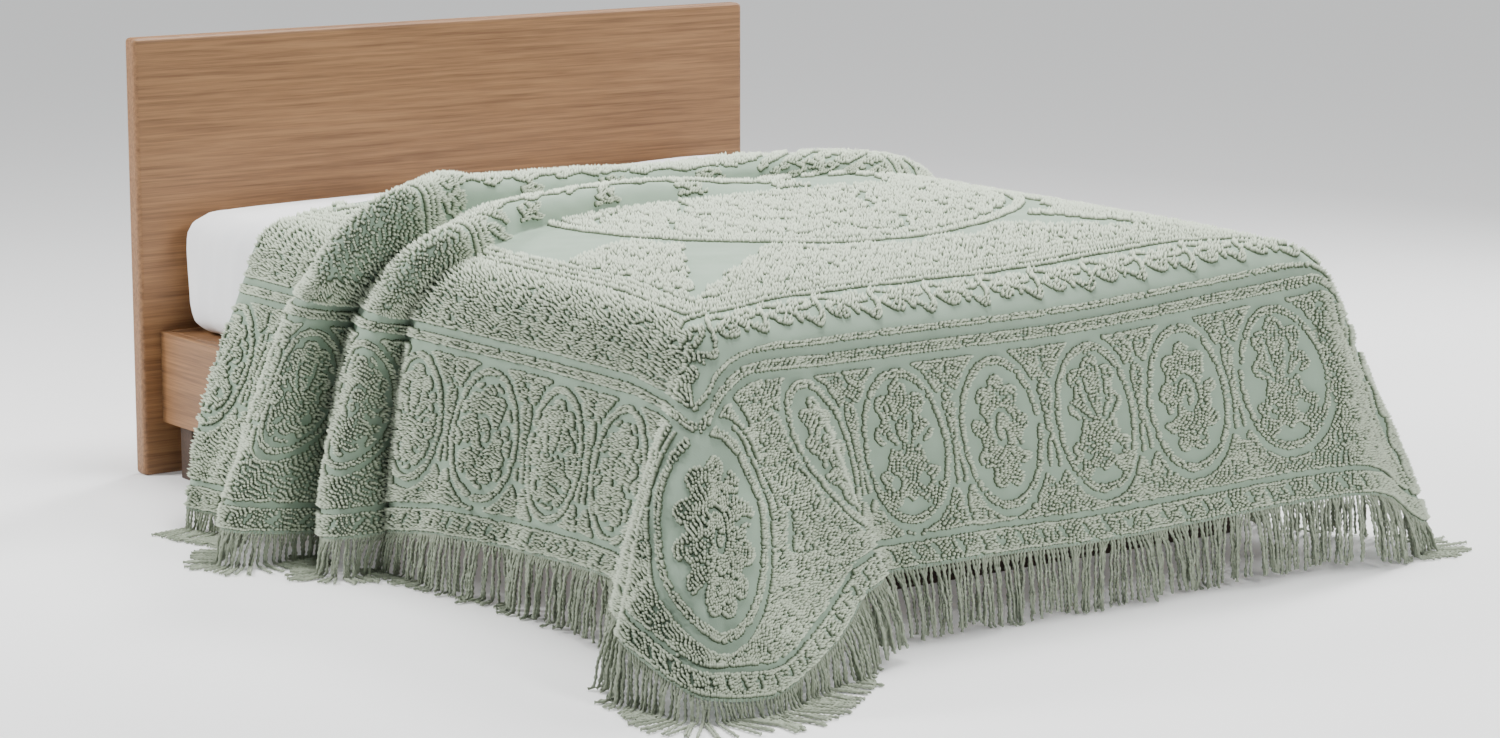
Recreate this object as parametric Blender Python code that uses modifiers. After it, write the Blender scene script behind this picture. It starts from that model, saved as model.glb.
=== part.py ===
"""A chenille bedspread with a long twisted fringe, draped over a plain bed.

Units are metres. X runs across the bed, Y from its foot to its head, Z up.
The cloth starts as a flat grid. The formulas below hang each of its points over the bed.
"""
import bpy
import bmesh
import numpy as np

# The bed
HALF_WIDTH = 0.76
FOOT_END = -1.03
HEAD_END = 1.035
MATTRESS_TOP = 0.600
MATTRESS_BOTTOM = 0.3275
MATTRESS_EDGE = 0.065
MATTRESS_SHY = 0.006
MATTRESS_CUTS_X = 11
MATTRESS_CUTS_Y = 7
CROWN = 0.045
FAR_SIDE_RAISE = 0.030
DECK_THICKNESS = 0.024
RAIL_BOTTOM = 0.120
RAIL_TOP = 0.327
RAIL_THICKNESS = 0.025
RAIL_OUT = 0.022
PLINTH_DEPTH = 0.053
PLINTH_INSET = 0.012
PLINTH_FROM_HEAD = 0.09
HEADBOARD_WIDTH = 1.656
HEADBOARD_HEIGHT = 0.987
HEADBOARD_THICKNESS = 0.046
HEADBOARD_EDGE = 0.010
SEAT = 0.0004

# The cloth
CLOTH_THICKNESS = 0.003
CLOTH_LIFT = 0.0016
INSET = 0.06
CLOTH_HEAD = 0.84
SMALL_FOLD = 0.24
BIG_FOLD = 0.38
SLOPE_STEP = 0.002

# The skirt, all round: one row for each place where its hang changes.
# Stations count metres from the near foot corner: below 0 along the left side, 0 to 1 round that
# corner, 1 to 2.4 along the foot, 2.4 to 3.4 round the far corner, above it along the right side.
# Runs are how far the cloth leans out across (X) and along (Y) the bed for each unit that it falls.
SKIRT_COLUMNS = "station run_x run_y radius drop"
SKIRT = np.array([
    [-1.90, -0.165, 0.00, 0.075, 0.635],
    [-1.10, -0.165, 0.00, 0.075, 0.610],
    [-0.88, -0.165, 0.00, 0.075, 0.575],
    [-0.66, -0.190, 0.00, 0.075, 0.545],
    [-0.48, -0.155, 0.00, 0.075, 0.535],
    [-0.30, -0.180, 0.00, 0.075, 0.525],
    [-0.12, -0.190, 0.00, 0.075, 0.520],
    [0.00, -0.340, -0.08, 0.075, 0.535],
    [0.14, -0.520, -0.27, 0.075, 0.600],
    [0.30, -0.545, -0.49, 0.075, 0.690],
    [0.46, -0.480, -0.71, 0.075, 0.785],
    [0.62, -0.320, -0.75, 0.075, 0.770],
    [0.78, -0.070, -0.65, 0.075, 0.685],
    [0.92, 0.160, -0.50, 0.075, 0.612],
    [1.00, 0.240, -0.42, 0.075, 0.580],
    [1.08, 0.200, -0.36, 0.075, 0.555],
    [1.16, 0.100, -0.32, 0.075, 0.532],
    [1.28, 0.020, -0.25, 0.080, 0.525],
    [1.44, 0.000, -0.29, 0.080, 0.525],
    [1.62, 0.000, -0.25, 0.080, 0.528],
    [1.80, 0.000, -0.28, 0.080, 0.534],
    [2.00, 0.000, -0.25, 0.080, 0.540],
    [2.16, 0.010, -0.28, 0.080, 0.545],
    [2.32, 0.050, -0.25, 0.090, 0.552],
    [2.46, 0.130, -0.26, 0.110, 0.570],
    [2.62, 0.240, -0.25, 0.120, 0.610],
    [2.82, 0.325, -0.26, 0.130, 0.680],
    [2.98, 0.345, -0.22, 0.130, 0.690],
    [3.14, 0.340, -0.14, 0.125, 0.640],
    [3.30, 0.290, -0.04, 0.120, 0.590],
    [3.44, 0.200, 0.00, 0.090, 0.565],
    [3.62, 0.160, 0.00, 0.080, 0.560],
    [3.82, 0.230, 0.00, 0.080, 0.560],
    [4.02, 0.170, 0.00, 0.080, 0.560],
    [4.24, 0.200, 0.00, 0.080, 0.560],
    [5.30, 0.180, 0.00, 0.080, 0.580],
])

# The two folds that lie across the bed at its head, from the left hem to the right hem.
# Each fold has a run along the bed, a height and a lean of its crest to the foot.
FOLD_COLUMNS = ("across start small_run small_height small_lean big_run big_height big_lean "
                "tail_run valley behind edge")
FOLDS = np.array([
    [-1.32, -0.09, 0.19, 0.115, 0.02, 0.22, 0.175, 0.02, 0.19, 0.055, 0.120, 0.150],
    [-1.05, -0.01, 0.19, 0.090, 0.04, 0.22, 0.135, 0.05, 0.21, 0.025, 0.060, 0.080],
    [-0.86, -0.03, 0.20, 0.074, 0.05, 0.22, 0.128, 0.08, 0.23, 0.008, 0.020, 0.030],
    [-0.72, -0.12, 0.19, 0.064, 0.05, 0.24, 0.124, 0.10, 0.31, 0.004, 0.006, 0.004],
    [-0.55, -0.02, 0.20, 0.058, 0.05, 0.25, 0.110, 0.10, 0.25, 0.000, 0.000, 0.000],
    [-0.40, 0.06, 0.18, 0.053, 0.05, 0.26, 0.078, 0.09, 0.18, 0.000, 0.000, 0.000],
    [0.00, 0.17, 0.17, 0.042, 0.03, 0.27, 0.052, 0.08, 0.06, 0.000, 0.000, 0.000],
    [0.30, 0.12, 0.19, 0.008, 0.00, 0.30, 0.040, 0.09, 0.09, 0.000, 0.000, 0.000],
    [0.72, -0.02, 0.22, 0.000, 0.00, 0.35, 0.040, 0.07, 0.20, 0.000, 0.000, 0.000],
    [0.86, -0.04, 0.23, 0.002, 0.00, 0.33, 0.072, 0.04, 0.22, 0.004, 0.004, 0.006],
    [1.32, -0.04, 0.23, 0.030, 0.00, 0.29, 0.110, 0.00, 0.25, 0.020, 0.030, 0.040],
])

# The grid of the cloth: how many faces each stretch gets
EDGE_SHARE = 0.22
EDGE_FACES = 4
DROP_FACES = 6
TOP_FACES = 18
PLAIN_FACES = 9
SMALL_FACES = 9
BIG_FACES = 11
TAIL_FACES = 5

# The fringe: name, first and last station, locks, gap between the hem and its strip
FRINGE = [
    ("fringe_left_back", -1.805, -1.175, 16, 0.0005),
    ("fringe_left_fold", -1.100, -0.920, 7, 0.0006),
    ("fringe_left_side", -0.870, -0.065, 24, 0.0004),
    ("fringe_near_corner_side", -0.055, 0.455, 15, 0.0014),
    ("fringe_near_corner_front", 0.465, 1.185, 16, 0.0021),
    ("fringe_foot", 1.195, 2.395, 34, 0.0004),
    ("fringe_far_corner_front", 2.405, 2.905, 12, 0.0014),
    ("fringe_far_corner_side", 2.915, 3.415, 12, 0.0018),
    ("fringe_right_side", 3.425, 4.285, 20, 0.0004),
    ("fringe_right_back", 4.295, 5.200, 17, 0.0005),
]
FRINGE_LENGTH = 0.128
FRINGE_SECTIONS = 3
FRINGE_THICKNESS = 0.006
STRIP_WIDTH = 0.010
LOCK_SHARE = 0.60
LOCK_TIP = 0.55
LOCK_SAG = 0.5
LOCK_SPLAY = 0.4
FLOOR_LEVEL = 0.0036
HEM_SAMPLES = 600
HEM_PROBE = 0.01

INNER_X = HALF_WIDTH - INSET
INNER_Y = FOOT_END + INSET
BED_MIDDLE = (FOOT_END + HEAD_END) / 2
BED_HALF_LENGTH = (HEAD_END - FOOT_END) / 2
FOOT_WIDTH = 2 * INNER_X


def eased(knots, values, at):
    """A smooth curve through the knots that never overshoots them."""
    at = np.clip(at, knots[0], knots[-1])
    step = np.diff(knots)
    rise = np.diff(values) / step
    slope = np.zeros(len(knots))
    same = rise[1:] * rise[:-1] > 0
    slope[1:-1][same] = 2 * (rise[1:] * rise[:-1])[same] / (rise[1:] + rise[:-1])[same]
    i = np.clip(np.searchsorted(knots, at, side="right") - 1, 0, len(step) - 1)
    t = (at - knots[i]) / step[i]
    start = (1 + 2 * t) * (1 - t) ** 2 * values[i] + t * (1 - t) ** 2 * step[i] * slope[i]
    end = t * t * (3 - 2 * t) * values[i + 1] + t * t * (t - 1) * step[i] * slope[i + 1]
    return start + end


def columns(table, names, at):
    """Every named column of a table, read at the given places."""
    return {name: eased(table[:, 0], table[:, i], at)
            for i, name in enumerate(names.split()) if i}


def unit(vectors):
    return vectors / np.maximum(np.linalg.norm(vectors, axis=-1, keepdims=True), 1e-9)


def soft_step(t):
    return t * t * (3 - 2 * t)


def bed_height(x, y):
    """The mattress is highest in its middle, and its right side is a little higher than its left."""
    across = np.clip(1 - (x / HALF_WIDTH) ** 4, 0, 1)
    along = np.clip(1 - ((y - BED_MIDDLE) / BED_HALF_LENGTH) ** 4, 0, 1)
    raised = FAR_SIDE_RAISE * soft_step(np.clip(x / INNER_X, 0, 1))
    return MATTRESS_TOP + raised + CROWN * across * along


def station_of(u, y):
    """Where round the skirt a point of the cloth hangs."""
    aside = np.maximum(np.abs(u) - INNER_X, 0)
    ahead = np.maximum(INNER_Y - y, 0)
    turn = np.arctan2(ahead, aside) / (np.pi / 2)
    left = np.where(ahead > 0, turn, INNER_Y - y)
    right = np.where(ahead > 0, 2 + FOOT_WIDTH - turn, 2 + FOOT_WIDTH + y - INNER_Y)
    foot = 1 + u + INNER_X
    return np.where(aside <= 0, foot, np.where(u < 0, left, right))


def skirt(u, y):
    """The cloth over the bed, without the folds at its head."""
    edge_x = np.clip(u, -INNER_X, INNER_X)
    edge_y = np.maximum(y, INNER_Y)
    out_x, out_y = u - edge_x, y - edge_y
    fall = np.hypot(out_x, out_y)
    here = columns(SKIRT, SKIRT_COLUMNS, station_of(u, y))
    slope_x = (bed_height(edge_x + SLOPE_STEP, edge_y)
               - bed_height(edge_x - SLOPE_STEP, edge_y)) / (2 * SLOPE_STEP)
    slope_y = (bed_height(edge_x, edge_y + SLOPE_STEP)
               - bed_height(edge_x, edge_y - SLOPE_STEP)) / (2 * SLOPE_STEP)
    over = unit(np.stack([out_x, out_y, slope_x * out_x + slope_y * out_y], -1))
    down = unit(np.stack([here["run_x"], here["run_y"], -np.ones_like(u)], -1))
    turn = np.arccos(np.clip((over * down).sum(-1), -1, 1))
    turn = np.maximum(turn, 1e-6)
    bend = here["radius"] * turn
    part = np.clip(fall / bend, 0, 1)
    along_over = (np.cos((1 - part) * turn) - np.cos(turn)) * bend / turn / np.sin(turn)
    along_down = (1 - np.cos(part * turn)) * bend / turn / np.sin(turn)
    along_down = along_down + np.maximum(fall - bend, 0)
    edge = np.stack([edge_x, edge_y, bed_height(edge_x, edge_y) + CLOTH_LIFT], -1)
    hung = edge + along_over[..., None] * over + along_down[..., None] * down
    return np.where((fall > 1e-9)[..., None], hung, edge)


def folded(u, v):
    """Where along the bed a point of the cloth lies once it is folded, and how far it stands off."""
    here = columns(FOLDS, FOLD_COLUMNS, u)
    past = v - here["start"]
    tail = CLOTH_HEAD - here["start"] - SMALL_FOLD - BIG_FOLD
    small = np.clip(past / SMALL_FOLD, 0, 1)
    big = np.clip((past - SMALL_FOLD) / BIG_FOLD, 0, 1)
    rest = np.clip((past - SMALL_FOLD - BIG_FOLD) / tail, 0, 1)
    small_wave = (1 - np.cos(2 * np.pi * small)) / 2
    big_wave = (1 - np.cos(2 * np.pi * big)) / 2
    along = (np.minimum(v, here["start"]) + here["small_run"] * small + here["big_run"] * big
             + here["tail_run"] * rest - here["small_lean"] * small_wave
             - here["big_lean"] * big_wave)
    off = (here["small_height"] * small_wave + here["big_height"] * big_wave
           + here["valley"] * soft_step(small)
           + (here["behind"] - here["valley"]) * soft_step(big)
           + (here["edge"] - here["behind"]) * soft_step(rest))
    return along, off


def cloth(u, v):
    """The point in space of a point of the flat cloth."""
    y, off = folded(u, v)
    du = skirt(u + SLOPE_STEP, y) - skirt(u - SLOPE_STEP, y)
    dy = skirt(u, y + SLOPE_STEP) - skirt(u, y - SLOPE_STEP)
    return skirt(u, y) + off[..., None] * unit(np.cross(du, dy))


def flat_point(station, fall):
    """The point of the flat cloth at a station, this far down from the bed's edge."""
    near = np.clip(station, 0, 1) * np.pi / 2
    far = (2 + FOOT_WIDTH - np.clip(station, 1 + FOOT_WIDTH, 2 + FOOT_WIDTH)) * np.pi / 2
    on_foot = (station > 1) & (station < 1 + FOOT_WIDTH)
    left = station <= 1
    turn = np.where(left, near, far)
    aside = np.where(on_foot, 0, fall * np.cos(turn))
    ahead = np.where(on_foot, fall, fall * np.sin(turn))
    u = np.where(left, -INNER_X - aside, INNER_X + aside)
    u = np.where(on_foot, station - 1 - INNER_X, u)
    behind = np.maximum(-station, 0) + np.maximum(station - 2 - FOOT_WIDTH, 0)
    return u, INNER_Y + behind - ahead


def drop_at(station):
    return eased(SKIRT[:, 0], SKIRT[:, SKIRT_COLUMNS.split().index("drop")], station)


def stretch_marks(lengths, counts):
    """Marks that divide each stretch into its own count of equal parts."""
    marks = [np.zeros(1)]
    for length, count in zip(lengths, counts):
        marks.append(marks[-1][-1] + length * np.arange(1, count + 1) / count)
    return np.concatenate(marks)


def cloth_grid():
    """The flat cloth's grid: two arrays with the place of every crossing."""
    drop = stretch_marks([EDGE_SHARE, 1 - EDGE_SHARE], [EDGE_FACES, DROP_FACES])
    top = stretch_marks([1.0], [TOP_FACES])
    across = np.concatenate([-drop[:0:-1] - INNER_X, (2 * top - 1) * INNER_X, drop[1:] + INNER_X])
    rows = [("drop", -d) for d in drop[:0:-1]]
    for name, count in (("plain", PLAIN_FACES), ("small", SMALL_FACES), ("big", BIG_FACES),
                        ("tail", TAIL_FACES)):
        rows += [(name, k / count) for k in range(count)]
    rows.append(("tail", 1.0))
    u = np.zeros((len(rows), len(across)))
    v = np.zeros_like(u)
    beyond = np.maximum(np.abs(across) - INNER_X, 0)
    for i, (name, part) in enumerate(rows):
        u[i] = np.clip(across, -INNER_X, INNER_X)
        if name == "drop":
            v[i] = INNER_Y
            continue
        guess = np.sign(across) * (INNER_X + beyond * drop_at(np.zeros(1)))
        for _ in range(3):
            start = columns(FOLDS, FOLD_COLUMNS, guess)["start"]
            ends = {"plain": (INNER_Y, start), "small": (start, start + SMALL_FOLD),
                    "big": (start + SMALL_FOLD, start + SMALL_FOLD + BIG_FOLD),
                    "tail": (start + SMALL_FOLD + BIG_FOLD, CLOTH_HEAD + 0 * start)}[name]
            row_v = ends[0] + part * (ends[1] - ends[0])
            station = np.where(across < 0, INNER_Y - row_v, 2 + FOOT_WIDTH + row_v - INNER_Y)
            guess = np.where(beyond > 0,
                             np.sign(across) * (INNER_X + beyond * drop_at(station)), across)
        u[i], v[i] = guess, row_v
    for i, (name, part) in enumerate(rows):
        if name != "drop":
            continue
        turn = np.arctan2(-part, beyond) / (np.pi / 2)
        station = np.where(across < -INNER_X, turn,
                           np.where(across > INNER_X, 2 + FOOT_WIDTH - turn, 1 + across + INNER_X))
        reach = drop_at(station) * np.maximum(beyond, -part)
        u[i], v[i] = flat_point(station, reach)
    return u, v


def hem_line(u, v):
    """The cloth's hem from head to head: station, place, way down and outward normal of each
    crossing on the edge of its grid."""
    edge_u = np.concatenate([u[:0:-1, 0], u[0], u[1:, -1]])
    edge_v = np.concatenate([v[:0:-1, 0], v[0], v[1:, -1]])
    station = station_of(edge_u, edge_v)
    drop = drop_at(station)
    place = cloth(edge_u, edge_v)
    down = unit(place - cloth(*flat_point(station, drop - HEM_PROBE)))
    along = np.gradient(place, axis=0)
    return station, place, down, unit(np.cross(down, along))


def on_hem(line, station, past=0.0):
    """Places on the hem, or this far past it, with their way down and outward normal."""
    place, down, out = (np.stack([np.interp(station, line[0], values[:, axis])
                                  for axis in range(3)], -1) for values in line[1:])
    down, out = unit(down), unit(out)
    return place + past * down, down, out


def remove_everything():
    for old in list(bpy.data.objects):
        bpy.data.objects.remove(old, do_unlink=True)


def material(name, colour, roughness):
    made = bpy.data.materials.new(name)
    made.use_nodes = True
    shader = made.node_tree.nodes["Principled BSDF"]
    shader.inputs["Base Color"].default_value = (*colour, 1.0)
    shader.inputs["Roughness"].default_value = roughness
    shader.inputs["Metallic"].default_value = 0.0
    return made


def add_object(name, mesh, slot, parent, smooth):
    obj = bpy.data.objects.new(name, mesh)
    mesh.materials.append(slot)
    mesh.polygons.foreach_set("use_smooth", [smooth] * len(mesh.polygons))
    parent.users_collection[0].objects.link(obj)
    obj.parent = parent
    return obj


def grid_mesh(name, points, dropped=()):
    """Blender's grid with its crossings moved to the points, less the faces named by row and column."""
    rows, cols = points.shape[:2]
    bm = bmesh.new()
    bmesh.ops.create_grid(bm, x_segments=cols - 1, y_segments=rows - 1, size=1)
    bm.verts.ensure_lookup_table()
    bm.faces.ensure_lookup_table()
    gone = []
    for face in bm.faces:
        middle = face.calc_center_median()
        col = int((middle.x + 1) / 2 * (cols - 1))
        row = int((middle.y + 1) / 2 * (rows - 1))
        if (row, col) in dropped:
            gone.append(face)
    for vert in bm.verts:
        col = round((vert.co.x + 1) / 2 * (cols - 1))
        row = round((vert.co.y + 1) / 2 * (rows - 1))
        vert.co = points[row, col]
    bmesh.ops.delete(bm, geom=gone, context="FACES")
    mesh = bpy.data.meshes.new(name)
    bm.to_mesh(mesh)
    bm.free()
    return mesh


def thicken(obj, thickness, offset):
    solid = obj.modifiers.new("Thickness", "SOLIDIFY")
    solid.thickness = thickness
    solid.offset = offset
    solid.use_even_offset = False
    return solid


def block(name, size, centre, slot, parent, edge, edge_steps=2):
    """A board: a cube scaled to size, with softly broken edges."""
    bm = bmesh.new()
    bmesh.ops.create_cube(bm, size=1)
    bmesh.ops.scale(bm, vec=size, verts=bm.verts)
    mesh = bpy.data.meshes.new(name)
    bm.to_mesh(mesh)
    bm.free()
    obj = add_object(name, mesh, slot, parent, False)
    obj.location = centre
    bevel = obj.modifiers.new("Broken edges", "BEVEL")
    bevel.width = edge
    bevel.segments = edge_steps
    return obj


def mattress(slot, parent):
    """A cube with rounded edges whose top rises to the middle and to the right side."""
    bm = bmesh.new()
    bmesh.ops.create_cube(bm, size=1)
    half_x = HALF_WIDTH - MATTRESS_SHY
    half_y = BED_HALF_LENGTH - MATTRESS_SHY
    size = (2 * half_x, 2 * half_y, MATTRESS_TOP - MATTRESS_BOTTOM)
    bmesh.ops.scale(bm, vec=size, verts=bm.verts)
    middle = (0, BED_MIDDLE, (MATTRESS_TOP + MATTRESS_BOTTOM) / 2)
    bmesh.ops.translate(bm, vec=middle, verts=bm.verts)
    bmesh.ops.bevel(bm, geom=bm.edges[:], offset=MATTRESS_EDGE, segments=4, profile=0.5,
                    affect="EDGES")
    straight_x = half_x - MATTRESS_EDGE
    straight_y = half_y - MATTRESS_EDGE
    cuts = [((x, 0, 0), (1, 0, 0))
            for x in np.linspace(-straight_x, straight_x, MATTRESS_CUTS_X + 2)[1:-1]]
    cuts += [((0, BED_MIDDLE + y, 0), (0, 1, 0))
             for y in np.linspace(-straight_y, straight_y, MATTRESS_CUTS_Y + 2)[1:-1]]
    for place, normal in cuts:
        bmesh.ops.bisect_plane(bm, geom=bm.verts[:] + bm.edges[:] + bm.faces[:],
                               plane_co=place, plane_no=normal)
    for vert in bm.verts:
        share = max(vert.co.z - MATTRESS_TOP + MATTRESS_EDGE, 0) / MATTRESS_EDGE
        vert.co.z += share * (bed_height(vert.co.x, vert.co.y) - MATTRESS_TOP)
    mesh = bpy.data.meshes.new("mattress")
    bm.to_mesh(mesh)
    bm.free()
    return add_object("mattress", mesh, slot, parent, True)


def bedspread(u, v, slot, parent):
    mesh = grid_mesh("bedspread", cloth(u, v))
    obj = add_object("bedspread", mesh, slot, parent, True)
    thicken(obj, CLOTH_THICKNESS, 1.0)
    return obj


def equal_stations(line, first, last, count):
    """Stations that divide the hem between two stations into equal lengths."""
    station = np.linspace(first, last, HEM_SAMPLES)
    points, _, _ = on_hem(line, station)
    length = np.concatenate([[0], np.cumsum(np.linalg.norm(np.diff(points, axis=0), axis=1))])
    return np.interp(np.linspace(0, length[-1], count), length, station)


def fringe(name, line, first, last, locks, gap, slot, parent):
    """A strip under the hem with its locks: one grid with the faces between the locks left out."""
    marks = equal_stations(line, first, last, 2 * locks)
    middles = (marks[0::2] + marks[1::2]) / 2
    half = (marks[1::2] - marks[0::2]) * LOCK_SHARE
    spots = np.stack([middles - half, middles + half], -1).ravel()
    spots[0], spots[-1] = first, last
    top, down, out = on_hem(line, spots, gap)
    top = top + out * CLOTH_THICKNESS / 2
    level = unit(out * [1, 1, 0])
    level = unit(level * LOCK_SPLAY + unit(level.mean(axis=0)))
    rows = [top, top + down * STRIP_WIDTH]
    step = (FRINGE_LENGTH - STRIP_WIDTH) / FRINGE_SECTIONS
    way = down
    for _ in range(FRINGE_SECTIONS):
        way = unit(way + LOCK_SAG * np.array([0, 0, -1.0]))
        below = rows[-1] + way * step
        low = below[:, 2] < FLOOR_LEVEL
        fallen = np.maximum(rows[-1][:, 2] - FLOOR_LEVEL, 0)
        flat_run = np.sqrt(np.maximum(step ** 2 - fallen ** 2, 0))
        lying = rows[-1] + level * flat_run[:, None]
        lying[:, 2] = FLOOR_LEVEL
        rows.append(np.where(low[:, None], lying, below))
        way = np.where(low[:, None], level, way)
    points = np.array(rows)
    centre = (points[:, 0::2] + points[:, 1::2]) / 2
    for row in range(2, len(rows)):
        keep = 1 + (LOCK_TIP - 1) * (row - 1) / FRINGE_SECTIONS
        points[row, 0::2] = centre[row] + (points[row, 0::2] - centre[row]) * keep
        points[row, 1::2] = centre[row] + (points[row, 1::2] - centre[row]) * keep
    between = {(row, col) for row in range(1, len(rows) - 1) for col in range(1, 2 * locks - 1, 2)}
    mesh = grid_mesh(name, points, between)
    obj = add_object(name, mesh, slot, parent, False)
    thicken(obj, FRINGE_THICKNESS, 0.0)
    return obj


def bed(sheet, board, dark_board, parent):
    mattress(sheet, parent)
    deck_top = MATTRESS_BOTTOM - SEAT
    outer = HALF_WIDTH + RAIL_OUT
    foot_face = FOOT_END - RAIL_OUT
    head_face = HEAD_END + RAIL_OUT - SEAT
    length = head_face - foot_face
    middle_y = (head_face + foot_face) / 2
    rail_height = RAIL_TOP - RAIL_BOTTOM
    rail_z = (RAIL_TOP + RAIL_BOTTOM) / 2
    for side, name in ((-1, "side_rail_left"), (1, "side_rail_right")):
        block(name, (RAIL_THICKNESS, length, rail_height),
              (side * (outer - RAIL_THICKNESS / 2), middle_y, rail_z), board, parent, 0.003)
    inner_width = 2 * (outer - RAIL_THICKNESS - SEAT)
    block("foot_rail", (inner_width, RAIL_THICKNESS, rail_height),
          (0, foot_face + RAIL_THICKNESS / 2, rail_z), board, parent, 0.003)
    deck_length = length - RAIL_THICKNESS - SEAT
    block("deck", (inner_width, deck_length, DECK_THICKNESS),
          (0, head_face - deck_length / 2, deck_top - DECK_THICKNESS / 2), board, parent, 0.002)
    plinth_top = RAIL_BOTTOM - SEAT
    plinths = (("plinth_head", head_face - PLINTH_FROM_HEAD),
               ("plinth_foot", foot_face + 3 * PLINTH_FROM_HEAD))
    for name, y in plinths:
        block(name, (2 * (outer - PLINTH_INSET), PLINTH_DEPTH, plinth_top),
              (0, y, plinth_top / 2), dark_board, parent, 0.002)
    block("headboard", (HEADBOARD_WIDTH, HEADBOARD_THICKNESS, HEADBOARD_HEIGHT),
          (0, head_face + SEAT + HEADBOARD_THICKNESS / 2, HEADBOARD_HEIGHT / 2), board, parent,
          HEADBOARD_EDGE, 3)


def put_on_origin(parent):
    """Centres the whole on the origin: the middle of its lowest face."""
    bpy.context.view_layer.update()
    graph = bpy.context.evaluated_depsgraph_get()
    corners = []
    for obj in parent.children:
        shown = obj.evaluated_get(graph)
        spots = np.empty(len(shown.data.vertices) * 3)
        shown.data.vertices.foreach_get("co", spots)
        spots = spots.reshape(-1, 3) + np.array(obj.matrix_world.translation)
        corners += [spots.min(axis=0), spots.max(axis=0)]
    low, high = np.min(corners, axis=0), np.max(corners, axis=0)
    parent.location = (-(low[0] + high[0]) / 2, -(low[1] + high[1]) / 2, 0)


def build():
    remove_everything()
    collection = bpy.data.collections.new("chenille_bedspread_on_bed")
    bpy.context.scene.collection.children.link(collection)
    whole = bpy.data.objects.new("whole", None)
    collection.objects.link(whole)
    sage = material("sage_chenille", (0.46, 0.54, 0.44), 0.95)
    cord = material("twisted_cord", (0.44, 0.49, 0.39), 0.95)
    sheet = material("white_sheet", (0.86, 0.87, 0.89), 0.90)
    board = material("brown_wood", (0.26, 0.15, 0.08), 0.55)
    dark_board = material("dark_wood", (0.10, 0.055, 0.03), 0.60)
    bed(sheet, board, dark_board, whole)
    u, v = cloth_grid()
    bedspread(u, v, sage, whole)
    line = hem_line(u, v)
    for name, first, last, locks, gap in FRINGE:
        fringe(name, line, first, last, locks, gap, cord, whole)
    put_on_origin(whole)


build()
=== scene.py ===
# %% [markdown]
# # A chenille bedspread on its bed
# The bedspread is one cloth of soft cotton with thick rows of velvety pile sewn through it.
# A long fringe of twisted cords hangs from three of its hems.
# The measured model of the bed and of the cloth's folds is loaded first.
# The steps below then give each piece its fine shape: the cloth's small wrinkles, its pile, its
# fringe, the sheet on the mattress and the grain of the wood.

import bmesh
import bpy
import numpy as np
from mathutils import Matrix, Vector


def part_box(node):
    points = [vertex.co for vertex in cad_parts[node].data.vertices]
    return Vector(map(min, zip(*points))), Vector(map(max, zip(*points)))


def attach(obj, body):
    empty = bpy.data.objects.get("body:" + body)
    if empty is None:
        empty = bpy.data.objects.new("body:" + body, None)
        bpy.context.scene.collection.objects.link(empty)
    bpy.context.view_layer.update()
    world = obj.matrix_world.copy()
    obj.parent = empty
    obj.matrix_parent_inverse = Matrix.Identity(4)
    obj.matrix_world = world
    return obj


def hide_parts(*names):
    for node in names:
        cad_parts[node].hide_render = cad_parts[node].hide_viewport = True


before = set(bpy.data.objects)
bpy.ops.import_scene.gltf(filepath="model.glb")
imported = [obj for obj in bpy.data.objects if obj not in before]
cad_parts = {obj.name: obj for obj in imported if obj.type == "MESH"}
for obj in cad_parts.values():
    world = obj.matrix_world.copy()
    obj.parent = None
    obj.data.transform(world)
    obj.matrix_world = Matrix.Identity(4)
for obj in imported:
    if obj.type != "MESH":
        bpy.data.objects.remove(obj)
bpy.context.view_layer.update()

# %% [markdown]
# ## Where the cloth lies
# A draped cloth could be simulated, but its folds then fall where the computer lets them.
# Here a flat sheet is hung by a formula instead, so that each fold sits where it does on the real
# bed. Every piece below uses the same formula, so pile and fringe stay on the cloth.

# %% Sizes of the bed and of the cloth, in metres
HALF_WIDTH = 0.76
FOOT_END = -1.03
HEAD_END = 1.035
MATTRESS_TOP = 0.600
CROWN = 0.045
FAR_SIDE_RAISE = 0.030
INSET = 0.06
CLOTH_LIFT = 0.0016
CLOTH_THICKNESS = 0.003
CLOTH_HEAD = 0.84
SMALL_FOLD = 0.24
BIG_FOLD = 0.38
FOLD_FULLNESS = 0.55
SLOPE_STEP = 0.002
FLOOR_LEVEL = 0.0045

INNER_X = HALF_WIDTH - INSET
INNER_Y = FOOT_END + INSET
BED_MIDDLE = (FOOT_END + HEAD_END) / 2
BED_HALF_LENGTH = (HEAD_END - FOOT_END) / 2
FOOT_WIDTH = 2 * INNER_X
mattress_low, mattress_high = (np.array(corner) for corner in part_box("mattress"))
SHIFT = (mattress_low + mattress_high) / 2 * [1, 1, 0] - [0, BED_MIDDLE, 0]
print("the bed's own origin lies at", SHIFT)

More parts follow.
